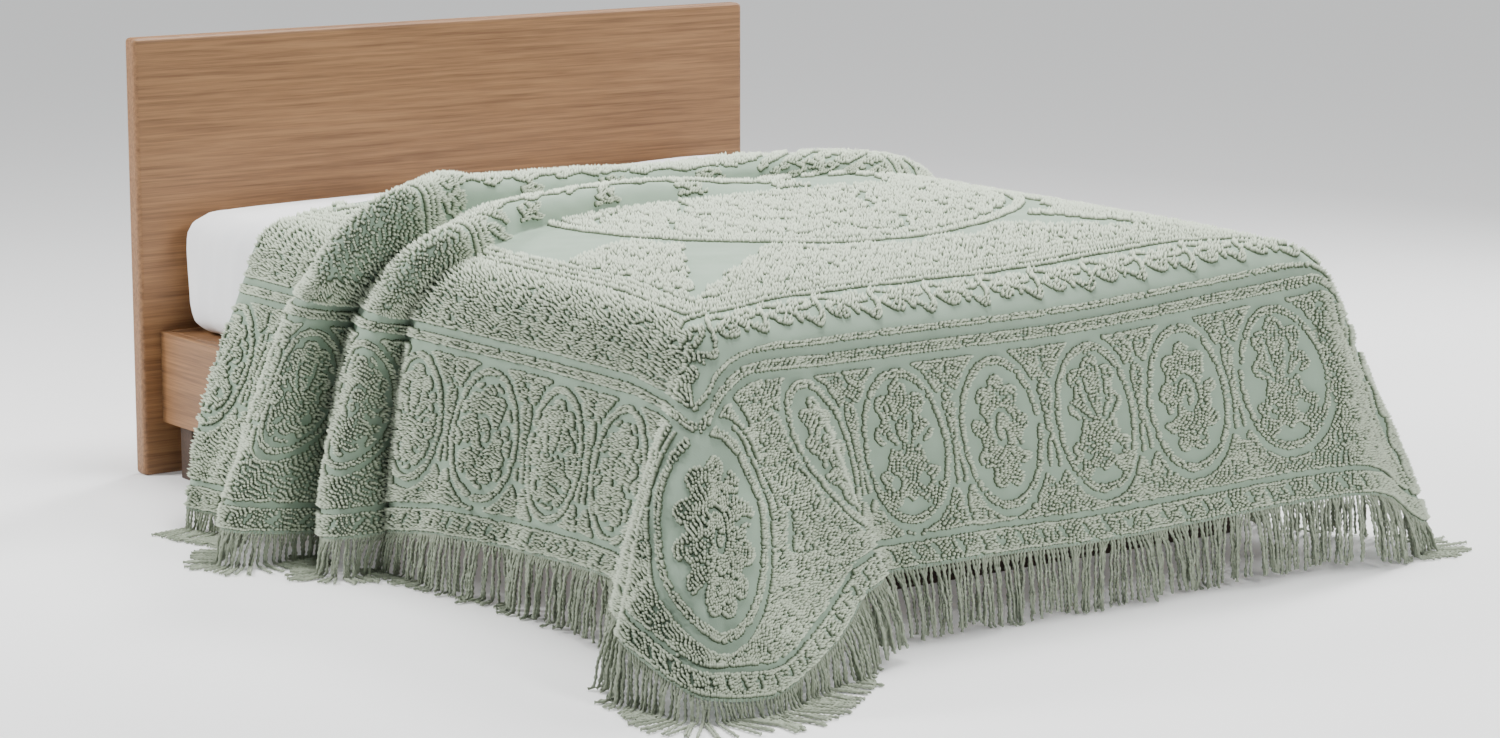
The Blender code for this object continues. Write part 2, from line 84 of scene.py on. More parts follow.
# %% How the skirt hangs and how the folds lie
# Stations count metres from the near foot corner: below 0 along the left side, 0 to 1 round that
# corner, 1 to 2.4 along the foot, 2.4 to 3.4 round the far corner, above it along the right side.
SKIRT_COLUMNS = "station run_x run_y radius drop"
SKIRT = np.array([
    [-1.90, -0.165, 0.00, 0.075, 0.635],
    [-1.10, -0.165, 0.00, 0.075, 0.610],
    [-0.88, -0.165, 0.00, 0.075, 0.575],
    [-0.66, -0.190, 0.00, 0.075, 0.545],
    [-0.48, -0.155, 0.00, 0.075, 0.535],
    [-0.30, -0.180, 0.00, 0.075, 0.525],
    [-0.12, -0.190, 0.00, 0.075, 0.520],
    [0.00, -0.340, -0.08, 0.075, 0.535],
    [0.14, -0.520, -0.27, 0.075, 0.600],
    [0.30, -0.545, -0.49, 0.075, 0.690],
    [0.46, -0.480, -0.71, 0.075, 0.785],
    [0.62, -0.320, -0.75, 0.075, 0.770],
    [0.78, -0.070, -0.65, 0.075, 0.685],
    [0.92, 0.160, -0.50, 0.075, 0.612],
    [1.00, 0.240, -0.42, 0.075, 0.580],
    [1.08, 0.200, -0.36, 0.075, 0.555],
    [1.16, 0.100, -0.32, 0.075, 0.532],
    [1.28, 0.020, -0.25, 0.080, 0.525],
    [1.44, 0.000, -0.29, 0.080, 0.525],
    [1.62, 0.000, -0.25, 0.080, 0.528],
    [1.80, 0.000, -0.28, 0.080, 0.534],
    [2.00, 0.000, -0.25, 0.080, 0.540],
    [2.16, 0.010, -0.28, 0.080, 0.545],
    [2.32, 0.050, -0.25, 0.090, 0.552],
    [2.46, 0.130, -0.26, 0.110, 0.570],
    [2.62, 0.240, -0.25, 0.120, 0.610],
    [2.82, 0.325, -0.26, 0.130, 0.680],
    [2.98, 0.345, -0.22, 0.130, 0.690],
    [3.14, 0.340, -0.14, 0.125, 0.640],
    [3.30, 0.290, -0.04, 0.120, 0.590],
    [3.44, 0.200, 0.00, 0.090, 0.565],
    [3.62, 0.160, 0.00, 0.080, 0.560],
    [3.82, 0.230, 0.00, 0.080, 0.560],
    [4.02, 0.170, 0.00, 0.080, 0.560],
    [4.24, 0.200, 0.00, 0.080, 0.560],
    [5.30, 0.180, 0.00, 0.080, 0.580],
])
FOLD_COLUMNS = ("across start small_run small_height small_lean big_run big_height big_lean "
                "tail_run valley behind edge")
FOLDS = np.array([
    [-1.32, -0.09, 0.19, 0.115, 0.080, 0.22, 0.175, 0.085, 0.19, 0.055, 0.120, 0.150],
    [-1.05, -0.01, 0.19, 0.090, 0.095, 0.22, 0.135, 0.110, 0.21, 0.025, 0.060, 0.080],
    [-0.86, -0.03, 0.20, 0.074, 0.075, 0.22, 0.128, 0.105, 0.23, 0.008, 0.020, 0.030],
    [-0.72, -0.12, 0.19, 0.064, 0.070, 0.24, 0.124, 0.115, 0.31, 0.004, 0.006, 0.004],
    [-0.55, -0.02, 0.20, 0.058, 0.05, 0.25, 0.110, 0.10, 0.25, 0.000, 0.000, 0.000],
    [-0.40, 0.06, 0.18, 0.053, 0.05, 0.26, 0.078, 0.09, 0.18, 0.000, 0.000, 0.000],
    [0.00, 0.17, 0.17, 0.042, 0.03, 0.27, 0.052, 0.08, 0.06, 0.000, 0.000, 0.000],
    [0.30, 0.12, 0.19, 0.008, 0.00, 0.30, 0.040, 0.09, 0.09, 0.000, 0.000, 0.000],
    [0.72, -0.02, 0.22, 0.000, 0.00, 0.35, 0.040, 0.07, 0.20, 0.000, 0.000, 0.000],
    [0.86, -0.04, 0.23, 0.002, 0.00, 0.33, 0.072, 0.04, 0.22, 0.004, 0.004, 0.006],
    [1.32, -0.04, 0.23, 0.030, 0.00, 0.29, 0.110, 0.00, 0.25, 0.020, 0.030, 0.040],
])
print("skirt rows:", len(SKIRT), "fold rows:", len(FOLDS))


# %% Read a table smoothly
def eased(knots, values, at):
    """A smooth curve through the knots that never overshoots them."""
    at = np.clip(at, knots[0], knots[-1])
    step = np.diff(knots)
    rise = np.diff(values) / step
    slope = np.zeros(len(knots))
    same = rise[1:] * rise[:-1] > 0
    slope[1:-1][same] = 2 * (rise[1:] * rise[:-1])[same] / (rise[1:] + rise[:-1])[same]
    i = np.clip(np.searchsorted(knots, at, side="right") - 1, 0, len(step) - 1)
    t = (at - knots[i]) / step[i]
    start = (1 + 2 * t) * (1 - t) ** 2 * values[i] + t * (1 - t) ** 2 * step[i] * slope[i]
    end = t * t * (3 - 2 * t) * values[i + 1] + t * t * (t - 1) * step[i] * slope[i + 1]
    return start + end


def columns(table, names, at):
    """Every named column of a table, read at the given places."""
    return {name: eased(table[:, 0], table[:, i], at)
            for i, name in enumerate(names.split()) if i}


def unit(vectors):
    return vectors / np.maximum(np.linalg.norm(vectors, axis=-1, keepdims=True), 1e-9)


def soft_step(t):
    return t * t * (3 - 2 * t)


# %% Hang the cloth over the bed
def bed_height(x, y):
    """The mattress is highest in its middle, and its right side is a little higher than its left."""
    across = np.clip(1 - (x / HALF_WIDTH) ** 4, 0, 1)
    along = np.clip(1 - ((y - BED_MIDDLE) / BED_HALF_LENGTH) ** 4, 0, 1)
    raised = FAR_SIDE_RAISE * soft_step(np.clip(x / INNER_X, 0, 1))
    return MATTRESS_TOP + raised + CROWN * across * along


def station_of(u, y):
    """Where round the skirt a point of the cloth hangs."""
    aside = np.maximum(np.abs(u) - INNER_X, 0)
    ahead = np.maximum(INNER_Y - y, 0)
    turn = np.arctan2(ahead, aside) / (np.pi / 2)
    left = np.where(ahead > 0, turn, INNER_Y - y)
    right = np.where(ahead > 0, 2 + FOOT_WIDTH - turn, 2 + FOOT_WIDTH + y - INNER_Y)
    foot = 1 + u + INNER_X
    return np.where(aside <= 0, foot, np.where(u < 0, left, right))


def skirt(u, y):
    """The cloth over the bed, without the folds at its head."""
    edge_x = np.clip(u, -INNER_X, INNER_X)
    edge_y = np.maximum(y, INNER_Y)
    out_x, out_y = u - edge_x, y - edge_y
    fall = np.hypot(out_x, out_y)
    here = columns(SKIRT, SKIRT_COLUMNS, station_of(u, y))
    slope_x = (bed_height(edge_x + SLOPE_STEP, edge_y)
               - bed_height(edge_x - SLOPE_STEP, edge_y)) / (2 * SLOPE_STEP)
    slope_y = (bed_height(edge_x, edge_y + SLOPE_STEP)
               - bed_height(edge_x, edge_y - SLOPE_STEP)) / (2 * SLOPE_STEP)
    over = unit(np.stack([out_x, out_y, slope_x * out_x + slope_y * out_y], -1))
    down = unit(np.stack([here["run_x"], here["run_y"], -np.ones_like(u)], -1))
    turn = np.arccos(np.clip((over * down).sum(-1), -1, 1))
    turn = np.maximum(turn, 1e-6)
    bend = here["radius"] * turn
    part = np.clip(fall / bend, 0, 1)
    along_over = (np.cos((1 - part) * turn) - np.cos(turn)) * bend / turn / np.sin(turn)
    along_down = (1 - np.cos(part * turn)) * bend / turn / np.sin(turn)
    along_down = along_down + np.maximum(fall - bend, 0)
    edge = np.stack([edge_x, edge_y, bed_height(edge_x, edge_y) + CLOTH_LIFT], -1)
    hung = edge + along_over[..., None] * over + along_down[..., None] * down
    return np.where((fall > 1e-9)[..., None], hung, edge)


def folded(u, v):
    """Where along the bed a point of the cloth lies once it is folded, and how far it stands off."""
    here = columns(FOLDS, FOLD_COLUMNS, u)
    past = v - here["start"]
    tail = CLOTH_HEAD - here["start"] - SMALL_FOLD - BIG_FOLD
    small = np.clip(past / SMALL_FOLD, 0, 1)
    big = np.clip((past - SMALL_FOLD) / BIG_FOLD, 0, 1)
    rest = np.clip((past - SMALL_FOLD - BIG_FOLD) / tail, 0, 1)
    small_wave = ((1 - np.cos(2 * np.pi * small)) / 2) ** FOLD_FULLNESS
    big_wave = ((1 - np.cos(2 * np.pi * big)) / 2) ** FOLD_FULLNESS
    along = (np.minimum(v, here["start"]) + here["small_run"] * small + here["big_run"] * big
             + here["tail_run"] * rest - here["small_lean"] * small_wave
             - here["big_lean"] * big_wave)
    off = (here["small_height"] * small_wave + here["big_height"] * big_wave
           + here["valley"] * soft_step(small)
           + (here["behind"] - here["valley"]) * soft_step(big)
           + (here["edge"] - here["behind"]) * soft_step(rest))
    return along, off


def drop_at(station):
    return eased(SKIRT[:, 0], SKIRT[:, SKIRT_COLUMNS.split().index("drop")], station)


# %% [markdown]
# ## Small wrinkles
# Between its main folds a heavy cloth ripples gently where it hangs and puckers where the pile
# pulls it. A few crossing waves give that unevenness, and they only ever lift the cloth outwards,
# so that it never dips into the mattress.

# %% The waves: length along the bed and across it in metres, height, and where they start
WAVE_COLUMNS = "long cross height phase hanging"
WAVES = np.array([
    [0.230, 0.900, 0.0030, 0.3, 1],
    [0.137, 0.610, 0.0022, 2.1, 1],
    [0.310, 0.190, 0.0016, 4.0, 0],
    [0.083, 0.110, 0.0008, 1.2, 0],
    [0.061, -0.075, 0.0006, 5.2, 0],
])


# Ridges that stand out where the hanging cloth turns back: their station, how far they reach
# before and after it, their height, and the fall at which they are full.
RIDGE_COLUMNS = "middle before after height reach"
RIDGES = np.array([
    [-0.86, 0.09, 0.42, 0.030, 0.16],
    [0.24, 0.08, 0.30, 0.030, 0.40],
    [1.10, 0.30, 0.07, 0.045, 0.50],
    [2.42, 0.16, 0.30, 0.020, 0.40],
])


def ridge_lift(station, fall):
    """How far the ridges stand out."""
    lift = np.zeros_like(fall)
    for middle, before, after, height, reach in RIDGES:
        side = np.where(station < middle, (middle - station) / before, (station - middle) / after)
        lift = lift + height * soft_step(np.clip(1 - side, 0, 1)) * soft_step(
            np.clip(fall / reach, 0, 1))
    return lift


def wrinkle(u, v):
    """How far ridges and small wrinkles lift the cloth at a point of the flat sheet."""
    fall = np.hypot(np.maximum(np.abs(u) - INNER_X, 0), np.maximum(INNER_Y - v, 0))
    hanging = soft_step(np.clip(fall / 0.45, 0, 1))
    foot = (v < INNER_Y) & (np.abs(u) < INNER_X)
    along = np.where(foot, u, v)
    cross = np.where(foot, v, u)
    lift = ridge_lift(station_of(u, v), fall)
    for long, across, height, phase, hangs in WAVES:
        wave = 1 + np.sin(2 * np.pi * (along / long + cross / across) + phase)
        lift = lift + height * wave * np.where(hangs > 0, hanging, 0.5)
    return lift


def bare_cloth(u, v):
    """The point of the bed's own space where a point of the flat cloth comes to lie."""
    y, off = folded(u, v)
    du = skirt(u + SLOPE_STEP, y) - skirt(u - SLOPE_STEP, y)
    dy = skirt(u, y + SLOPE_STEP) - skirt(u, y - SLOPE_STEP)
    return skirt(u, y) + (off + wrinkle(u, v))[..., None] * unit(np.cross(du, dy))


def cloth(u, v):
    """The same in the model's space."""
    return bare_cloth(u, v) + SHIFT


def cloth_frame(u, v):
    """A point on the cloth's upper face, with the ways across, along and out of it."""
    across = unit(cloth(u + SLOPE_STEP, v) - cloth(u - SLOPE_STEP, v))
    along = unit(cloth(u, v + SLOPE_STEP) - cloth(u, v - SLOPE_STEP))
    out = unit(np.cross(across, along))
    return cloth(u, v) + CLOTH_THICKNESS * out, across, along, out


print("highest wrinkle:", WAVES[:, 2].sum() * 2)

# %% [markdown]
# ## The cloth itself
# The real sheet is woven flat and cut to size. A grid with faces of about 12 mm carries the folds
# and the wrinkles, and a Solidify modifier gives it a cloth's thickness. Each point keeps its place
# on the flat sheet as a UV map, so that weave and pile can be drawn on the flat cloth.

# %% The grid: how many faces each stretch of the cloth gets
FACES = {"drop": 36, "top": 92, "plain": 70, "small": 26, "big": 36, "tail": 8}


def flat_point(station, fall):
    """The point of the flat cloth at a station, this far down from the bed's edge."""
    near = np.clip(station, 0, 1) * np.pi / 2
    far = (2 + FOOT_WIDTH - np.clip(station, 1 + FOOT_WIDTH, 2 + FOOT_WIDTH)) * np.pi / 2
    on_foot = (station > 1) & (station < 1 + FOOT_WIDTH)
    left = station <= 1
    turn = np.where(left, near, far)
    aside = np.where(on_foot, 0, fall * np.cos(turn))
    ahead = np.where(on_foot, fall, fall * np.sin(turn))
    u = np.where(left, -INNER_X - aside, INNER_X + aside)
    u = np.where(on_foot, station - 1 - INNER_X, u)
    behind = np.maximum(-station, 0) + np.maximum(station - 2 - FOOT_WIDTH, 0)
    return u, INNER_Y + behind - ahead


def cloth_grid():
    """The flat cloth's grid: two arrays with the place of every crossing."""
    drop = np.linspace(0, 1, FACES["drop"] + 1)
    top = np.linspace(-INNER_X, INNER_X, FACES["top"] + 1)
    across = np.concatenate([-drop[:0:-1] - INNER_X, top, drop[1:] + INNER_X])
    rows = [("drop", -d) for d in drop[:0:-1]]
    for name in ("plain", "small", "big", "tail"):
        rows += [(name, k / FACES[name]) for k in range(FACES[name])]
    rows.append(("tail", 1.0))
    u = np.zeros((len(rows), len(across)))
    v = np.zeros_like(u)
    beyond = np.maximum(np.abs(across) - INNER_X, 0)
    for i, (name, part) in enumerate(rows):
        if name == "drop":
            turn = np.arctan2(-part, beyond) / (np.pi / 2)
            station = np.where(across < -INNER_X, turn,
                               np.where(across > INNER_X, 2 + FOOT_WIDTH - turn,
                                        1 + across + INNER_X))
            u[i], v[i] = flat_point(station, drop_at(station) * np.maximum(beyond, -part))
            continue
        guess = np.sign(across) * (INNER_X + beyond * drop_at(np.zeros(1)))
        for _ in range(3):
            start = columns(FOLDS, FOLD_COLUMNS, guess)["start"]
            low, high = {"plain": (INNER_Y, start), "small": (start, start + SMALL_FOLD),
                         "big": (start + SMALL_FOLD, start + SMALL_FOLD + BIG_FOLD),
                         "tail": (start + SMALL_FOLD + BIG_FOLD, CLOTH_HEAD)}[name]
            row_v = low + part * (high - low)
            station = np.where(across < 0, INNER_Y - row_v, 2 + FOOT_WIDTH + row_v - INNER_Y)
            guess = np.where(beyond > 0,
                             np.sign(across) * (INNER_X + beyond * drop_at(station)), across)
        u[i], v[i] = guess, row_v
    return u, v


grid_u, grid_v = cloth_grid()
print("cloth grid:", grid_u.shape, "flat width", np.ptp(grid_u), "length", np.ptp(grid_v))


# %% Turn the grid into a mesh
def mesh_object(name, points, faces, uv=None):
    """A mesh object in the scene from arrays of points and of faces."""
    mesh = bpy.data.meshes.new(name)
    mesh.from_pydata(points.tolist(), [], faces.tolist())
    if uv is not None:
        corners = np.empty(len(mesh.loops), np.int32)
        mesh.loops.foreach_get("vertex_index", corners)
        mesh.uv_layers.new(name="flat").data.foreach_set("uv", uv[corners].ravel())
    mesh.shade_smooth()
    obj = bpy.data.objects.new(name, mesh)
    bpy.context.scene.collection.objects.link(obj)
    return obj


def grid_faces(rows, cols):
    index = np.arange(rows * cols).reshape(rows, cols)
    return np.stack([index[:-1, :-1], index[:-1, 1:], index[1:, 1:], index[1:, :-1]], -1
                    ).reshape(-1, 4)


def as_plain_mesh(obj):
    """Applies an object's modifiers: it keeps only the mesh that they make."""
    graph = bpy.context.evaluated_depsgraph_get()
    made = bpy.data.meshes.new_from_object(obj.evaluated_get(graph), depsgraph=graph)
    obj.modifiers.clear()
    obj.data = made
    made.name = obj.name
    return obj


bedspread = mesh_object("bedspread_cloth", cloth(grid_u, grid_v).reshape(-1, 3),
                        grid_faces(*grid_u.shape), np.stack([grid_u, grid_v], -1).reshape(-1, 2))
thick = bedspread.modifiers.new("Thickness", "SOLIDIFY")
thick.thickness = CLOTH_THICKNESS
thick.offset = 1.0
thick.use_even_offset = False
as_plain_mesh(bedspread)
print("cloth faces:", len(bedspread.data.polygons))

# %% [markdown]
# ## The pattern of the pile
# On the real cloth a needle punches loops of yarn through the sheet in rows, and the cut loops
# fluff up into ridges. The rows draw borders, scrolls and a round centre. The pattern here is
# drawn on the flat cloth by functions: each asks how far a point lies from the hem, and then which
# motif it falls in. The layout is a common traditional one, and its motifs are made up of strokes
# and leaves.


# %% Strokes and leaves
def stroke(points, width, samples=36):
    """Discs (x, y, radius) along a smooth line through the points, thinner at its ends."""
    points = np.array(points, float)
    knots = np.arange(len(points), dtype=float)
    at = np.linspace(0, knots[-1], samples)
    radius = width / 2 * (0.55 + 0.45 * np.sin(np.pi * at / knots[-1]))
    return np.stack([eased(knots, points[:, 0], at), eased(knots, points[:, 1], at), radius], -1)


def leaves(table):
    """Discs of leaves. Each row is x, y, length, width, turn and bend, the last two in degrees."""
    discs = []
    for x, y, length, width, turn, bend in table:
        along = np.linspace(0, 1, 14)
        radius = width / 2 * (0.30 + 0.70 * np.sin(np.pi / 2 * along))
        way = np.radians(turn + bend * along)
        step = length / 13
        discs.append(np.stack([x + np.cumsum(np.cos(way)) * step, y + np.cumsum(np.sin(way)) * step,
                               radius], -1))
    return np.concatenate(discs)


def curl(x, y, start, end, width, first, turns, tall=1.0):
    """Discs of a curl: it winds round (x, y) from one radius to another, from an angle in degrees."""
    along = np.linspace(0, 1, 40)
    reach = start + (end - start) * along
    angle = np.radians(first) + 2 * np.pi * turns * along
    radius = width / 2 * (0.75 + 0.25 * np.sin(np.pi * along))
    return np.stack([x + reach * np.cos(angle), y + tall * reach * np.sin(angle), radius], -1)


def clump(x, y, wide, high, lobes, lobe):
    """Discs of an oval clump of leaves with round lobes all along its edge."""
    along = np.linspace(-1, 1, 13)
    taller = high ** 2 - wide ** 2
    shift = along * taller / high
    inner = np.stack([x + 0 * along, y + shift, wide * np.sqrt(1 - shift ** 2 / taller)], -1)
    turn = np.pi / 2 + 2 * np.pi * np.arange(lobes) / lobes
    edge = np.stack([x + wide * np.cos(turn), y + high * np.sin(turn), lobe + 0 * turn], -1)
    return np.concatenate([inner, edge])


def within(x, y, discs):
    """True where a point lies inside one of the discs."""
    low, high = (discs[:, :2] - discs[:, 2:]).min(0), (discs[:, :2] + discs[:, 2:]).max(0)
    inside = (x > low[0]) & (x < high[0]) & (y > low[1]) & (y < high[1])
    near_x, near_y = x[inside], y[inside]
    found = np.zeros(near_x.shape, bool)
    for middle_x, middle_y, radius in discs:
        found |= (near_x - middle_x) ** 2 + (near_y - middle_y) ** 2 < radius ** 2
    inside[inside] = found
    return inside


# %% The motifs of the wide border
BORDER_PITCH = 0.236
ARCH_HALF_WIDTH = 0.088
ARCH_HALF_HEIGHT = 0.130
ARCH_MIDDLE = 0.165
CHANNEL = 0.0050
OUTLINE = 0.0075
# Each motif is a clump of leaves and the plain lines that are cut into it.
scroll = (clump(0.0, 0.165, 0.053, 0.092, 9, 0.019),
          np.concatenate([curl(0.0, 0.165, 0.002, 0.038, 0.0105, 100, 1.5, 1.7),
                          stroke([(0.034, 0.180), (0.046, 0.196), (0.064, 0.200)], 0.010),
                          stroke([(-0.034, 0.146), (-0.046, 0.130), (-0.064, 0.128)], 0.010)]))
palmette = (np.concatenate([clump(0.0, 0.204, 0.047, 0.064, 7, 0.021),
                            clump(-0.037, 0.096, 0.024, 0.031, 6, 0.012),
                            clump(0.037, 0.096, 0.024, 0.031, 6, 0.012),
                            stroke([(0.0, 0.066), (0.0, 0.120), (0.0, 0.160)], 0.024)]),
            np.concatenate([stroke([(0.006, 0.160), (0.020, 0.200), (0.026, 0.250)], 0.0095),
                            stroke([(-0.006, 0.160), (-0.020, 0.200), (-0.026, 0.250)], 0.0095),
                            stroke([(0.014, 0.156), (0.036, 0.176), (0.058, 0.196)], 0.0095),
                            stroke([(-0.014, 0.156), (-0.036, 0.176), (-0.058, 0.196)], 0.0095),
                            curl(-0.036, 0.098, 0.002, 0.015, 0.008, 20, 1.2),
                            curl(0.036, 0.098, 0.002, 0.015, 0.008, 160, -1.2)]))
between_arches = np.concatenate([
    stroke([(0.118, 0.004), (0.113, 0.060), (0.118, 0.118), (0.123, 0.180), (0.118, 0.240),
            (0.115, 0.300)], 0.011),
    leaves([(0.116, 0.060, 0.054, 0.014, 140, -60), (0.120, 0.060, 0.054, 0.014, 40, 60),
            (0.116, 0.270, 0.054, 0.014, -140, 60), (0.120, 0.270, 0.054, 0.014, -40, -60)]),
])
CORNER_SCALE = 1.5
CORNER_MIDDLE = 0.455
corner_scroll = (clump(0.0, 0.160, 0.056, 0.092, 11, 0.018),
                 np.concatenate([curl(0.0, 0.160, 0.002, 0.044, 0.0085, 100, 2.1, 1.65),
                                 stroke([(0.040, 0.175), (0.052, 0.190), (0.070, 0.192)], 0.009),
                                 stroke([(-0.030, 0.100), (-0.040, 0.086), (-0.056, 0.080)], 0.009),
                                 stroke([(0.016, 0.236), (0.022, 0.250), (0.020, 0.270)], 0.009)]))
corner_drops = np.concatenate([
    stroke([(0.030, 0.215), (0.070, 0.225), (0.118, 0.270), (0.168, 0.350), (0.188, 0.440)], 0.013),
    leaves([(0.020, 0.150, 0.080, 0.026, 28, 20), (0.104, 0.330, 0.070, 0.024, 96, 10),
            (0.200, 0.330, 0.080, 0.020, 80, 0)])])
print("discs of the scroll:", len(scroll[0]), "and of the palmette:", len(palmette[0]))


def outlined(x, y, motif, filled):
    """A motif of pile on plain cloth. In a filled ground only a plain line is left round it."""
    leaf, cut = motif
    inside = within(x, y, leaf) & ~within(x, y, cut)
    grown = within(x, y, leaf + [0, 0, OUTLINE])
    return np.where(filled, inside | ~grown, inside)


def corner_motif(u, v):
    """Pile on a foot corner: a filled ground, and a large plain oval with a scroll in it."""
    out = (np.abs(u) - INNER_X + INNER_Y - v) / np.sqrt(2)
    across = (INNER_X - np.abs(u) + INNER_Y - v) / np.sqrt(2) * -np.sign(u)
    x, up = across / CORNER_SCALE, (out - CORNER_MIDDLE) / CORNER_SCALE
    reach = np.hypot(x / ARCH_HALF_WIDTH, up / ARCH_HALF_HEIGHT)
    rim = np.abs(reach - 1.17) < CHANNEL / ARCH_HALF_WIDTH
    drops = within(np.abs(across), out, corner_drops)
    return np.where(reach < 1, outlined(x, ARCH_MIDDLE - up, corner_scroll, False), ~(rim | drops))


def wide_border(along, up, on_side):
    """Pile of the wide border: a row of ovals in a pile ground, each with a scroll or a palmette. The ovals are plain at the foot and filled on the sides of the bed."""
    cell = np.round(along / BORDER_PITCH)
    x = along - cell * BORDER_PITCH
    x = np.where(cell % 4 < 2, x, -x)
    reach = np.hypot(x / ARCH_HALF_WIDTH, (up - ARCH_MIDDLE) / ARCH_HALF_HEIGHT)
    rim = np.abs(reach - 1.19) < CHANNEL / ARCH_HALF_WIDTH
    edge = on_side & (np.abs(reach - 0.97) < CHANNEL / ARCH_HALF_WIDTH)
    motif = np.where(cell % 2 == 0, outlined(x, up, scroll, on_side), outlined(x, up, palmette, on_side))
    return np.where(reach < 1, motif & ~edge, ~(within(np.abs(x), up, between_arches) | rim))


# %% The narrow border of running scrolls
RUN_PITCH = 0.132
RUN_HEIGHT = 0.180
ROPE_HALF_WIDTH = 0.0105
run_curls = np.concatenate([curl(0.033, 0.064, 0.003, 0.034, 0.015, 100, -1.35),
                            curl(0.099, 0.116, 0.003, 0.034, 0.015, 280, -1.35)])


def narrow_border(along, up, on_side):
    """A running wave of pile with a curl in each bend, between two straight rows.
    On the sides of the bed the ground is filled, and plain lines draw the wave."""
    x = np.mod(along, RUN_PITCH)
    wave = RUN_HEIGHT / 2 + 0.050 * np.sin(2 * np.pi * x / RUN_PITCH)
    off = np.abs(up - wave)
    rows = (up < 0.011) | (up > RUN_HEIGHT - 0.011)
    open_ground = (off < ROPE_HALF_WIDTH) | rows | within(x, up, run_curls)
    filled_ground = np.abs(off - 0.020) > CHANNEL
    return np.where(on_side, filled_ground, open_ground)


# %% The field, the folds at the head, and the whole cloth
FOOT_HEM = -1.495
LEFT_HEM = -1.235
RIGHT_HEM = 1.260
SIDE_SCALE = 1.12
CORNER_PULL = 0.035
FIRST_FOOT_ARCH = -INNER_X + BORDER_PITCH / 2
FIRST_SIDE_ARCH = INNER_Y + BORDER_PITCH / 2
MEDALLION_X = 0.15
MEDALLION_RADIUS = 0.53
spray = leaves([(0, -0.018, 0.046, 0.028, 90, 0), (0, -0.014, 0.042, 0.024, 30, 50),
                (0, -0.014, 0.042, 0.024, 150, -50), (0, -0.012, 0.030, 0.020, -20, 30),
                (0, -0.012, 0.030, 0.020, 200, -30)])


def worms(u, v):
    """Rises and falls in short curling lines, as the pile's rows do where they fill a ground."""
    bend = 0.9 * np.sin(2 * np.pi * (u / 0.061 + v / 0.083)) + np.sin(2 * np.pi * v / 0.047)
    other = 0.8 * np.sin(2 * np.pi * (v / 0.055 - u / 0.071)) + np.sin(2 * np.pi * u / 0.052)
    return np.sin(2 * np.pi * (u + 0.35 * v) / 0.033 + bend) + 0.7 * np.sin(
        2 * np.pi * (v - 0.3 * u) / 0.034 + other)


def field(u, v, deep, corner_off):
    """Pile of the field: a round centre and filled corners with a notch, and plain cloth between."""
    reach = np.hypot(u - MEDALLION_X, v)
    turn = np.arctan2(v, u - MEDALLION_X)
    ring = np.abs(reach - MEDALLION_RADIUS) < 0.012
    rims = (np.abs(reach - 0.40 - 0.05 * np.cos(12 * turn)) < 0.008) | (
        np.abs(reach - 0.21 - 0.02 * np.cos(6 * turn)) < 0.008)
    centre = (reach < MEDALLION_RADIUS - 0.028) & ~rims
    across = np.abs(np.abs(np.degrees(turn)) - 90)
    notch = corner_off < 0.42 * (deep - 0.72) + 0.014 * np.cos(2 * np.pi * deep / 0.075)
    corner = (reach > MEDALLION_RADIUS + 0.06 + 0.018 * np.cos(22 * turn)) & (deep > 0.71) & (across < 66) & ~notch
    return ring | (centre & (worms(u, v) < 0.25)) | (corner & (worms(u, v) < 0.40))


def on_folds(u, past, deep):
    """Pile on the two folds at the head: plain fronts with sprays, and fuller tops."""
    x = np.mod(u + 0.06, 0.25) - 0.125
    sprays = within(x, past - 0.055, spray) | within(
        np.mod(u + 0.16, 0.25) - 0.125, past - SMALL_FOLD - 0.075, spray)
    scallop = 0.016 * np.cos(2 * np.pi * u / 0.115)
    tops = (np.abs(past - 0.150 - scallop) < 0.034) | (np.abs(past - 0.475 - scallop) < 0.095)
    ribs = (u > 0.34) & (past > SMALL_FOLD - 0.03) & (np.sin(
        2 * np.pi * (u - 0.8 * past) / 0.062) > -0.25)
    side = (deep > 0.70) & (deep < 0.80) & (np.sin(2 * np.pi * (past + deep) / 0.07) > -0.3)
    return (sprays | (tops & (u < 0.36)) | ribs | side) & (worms(u, past) < 0.60)


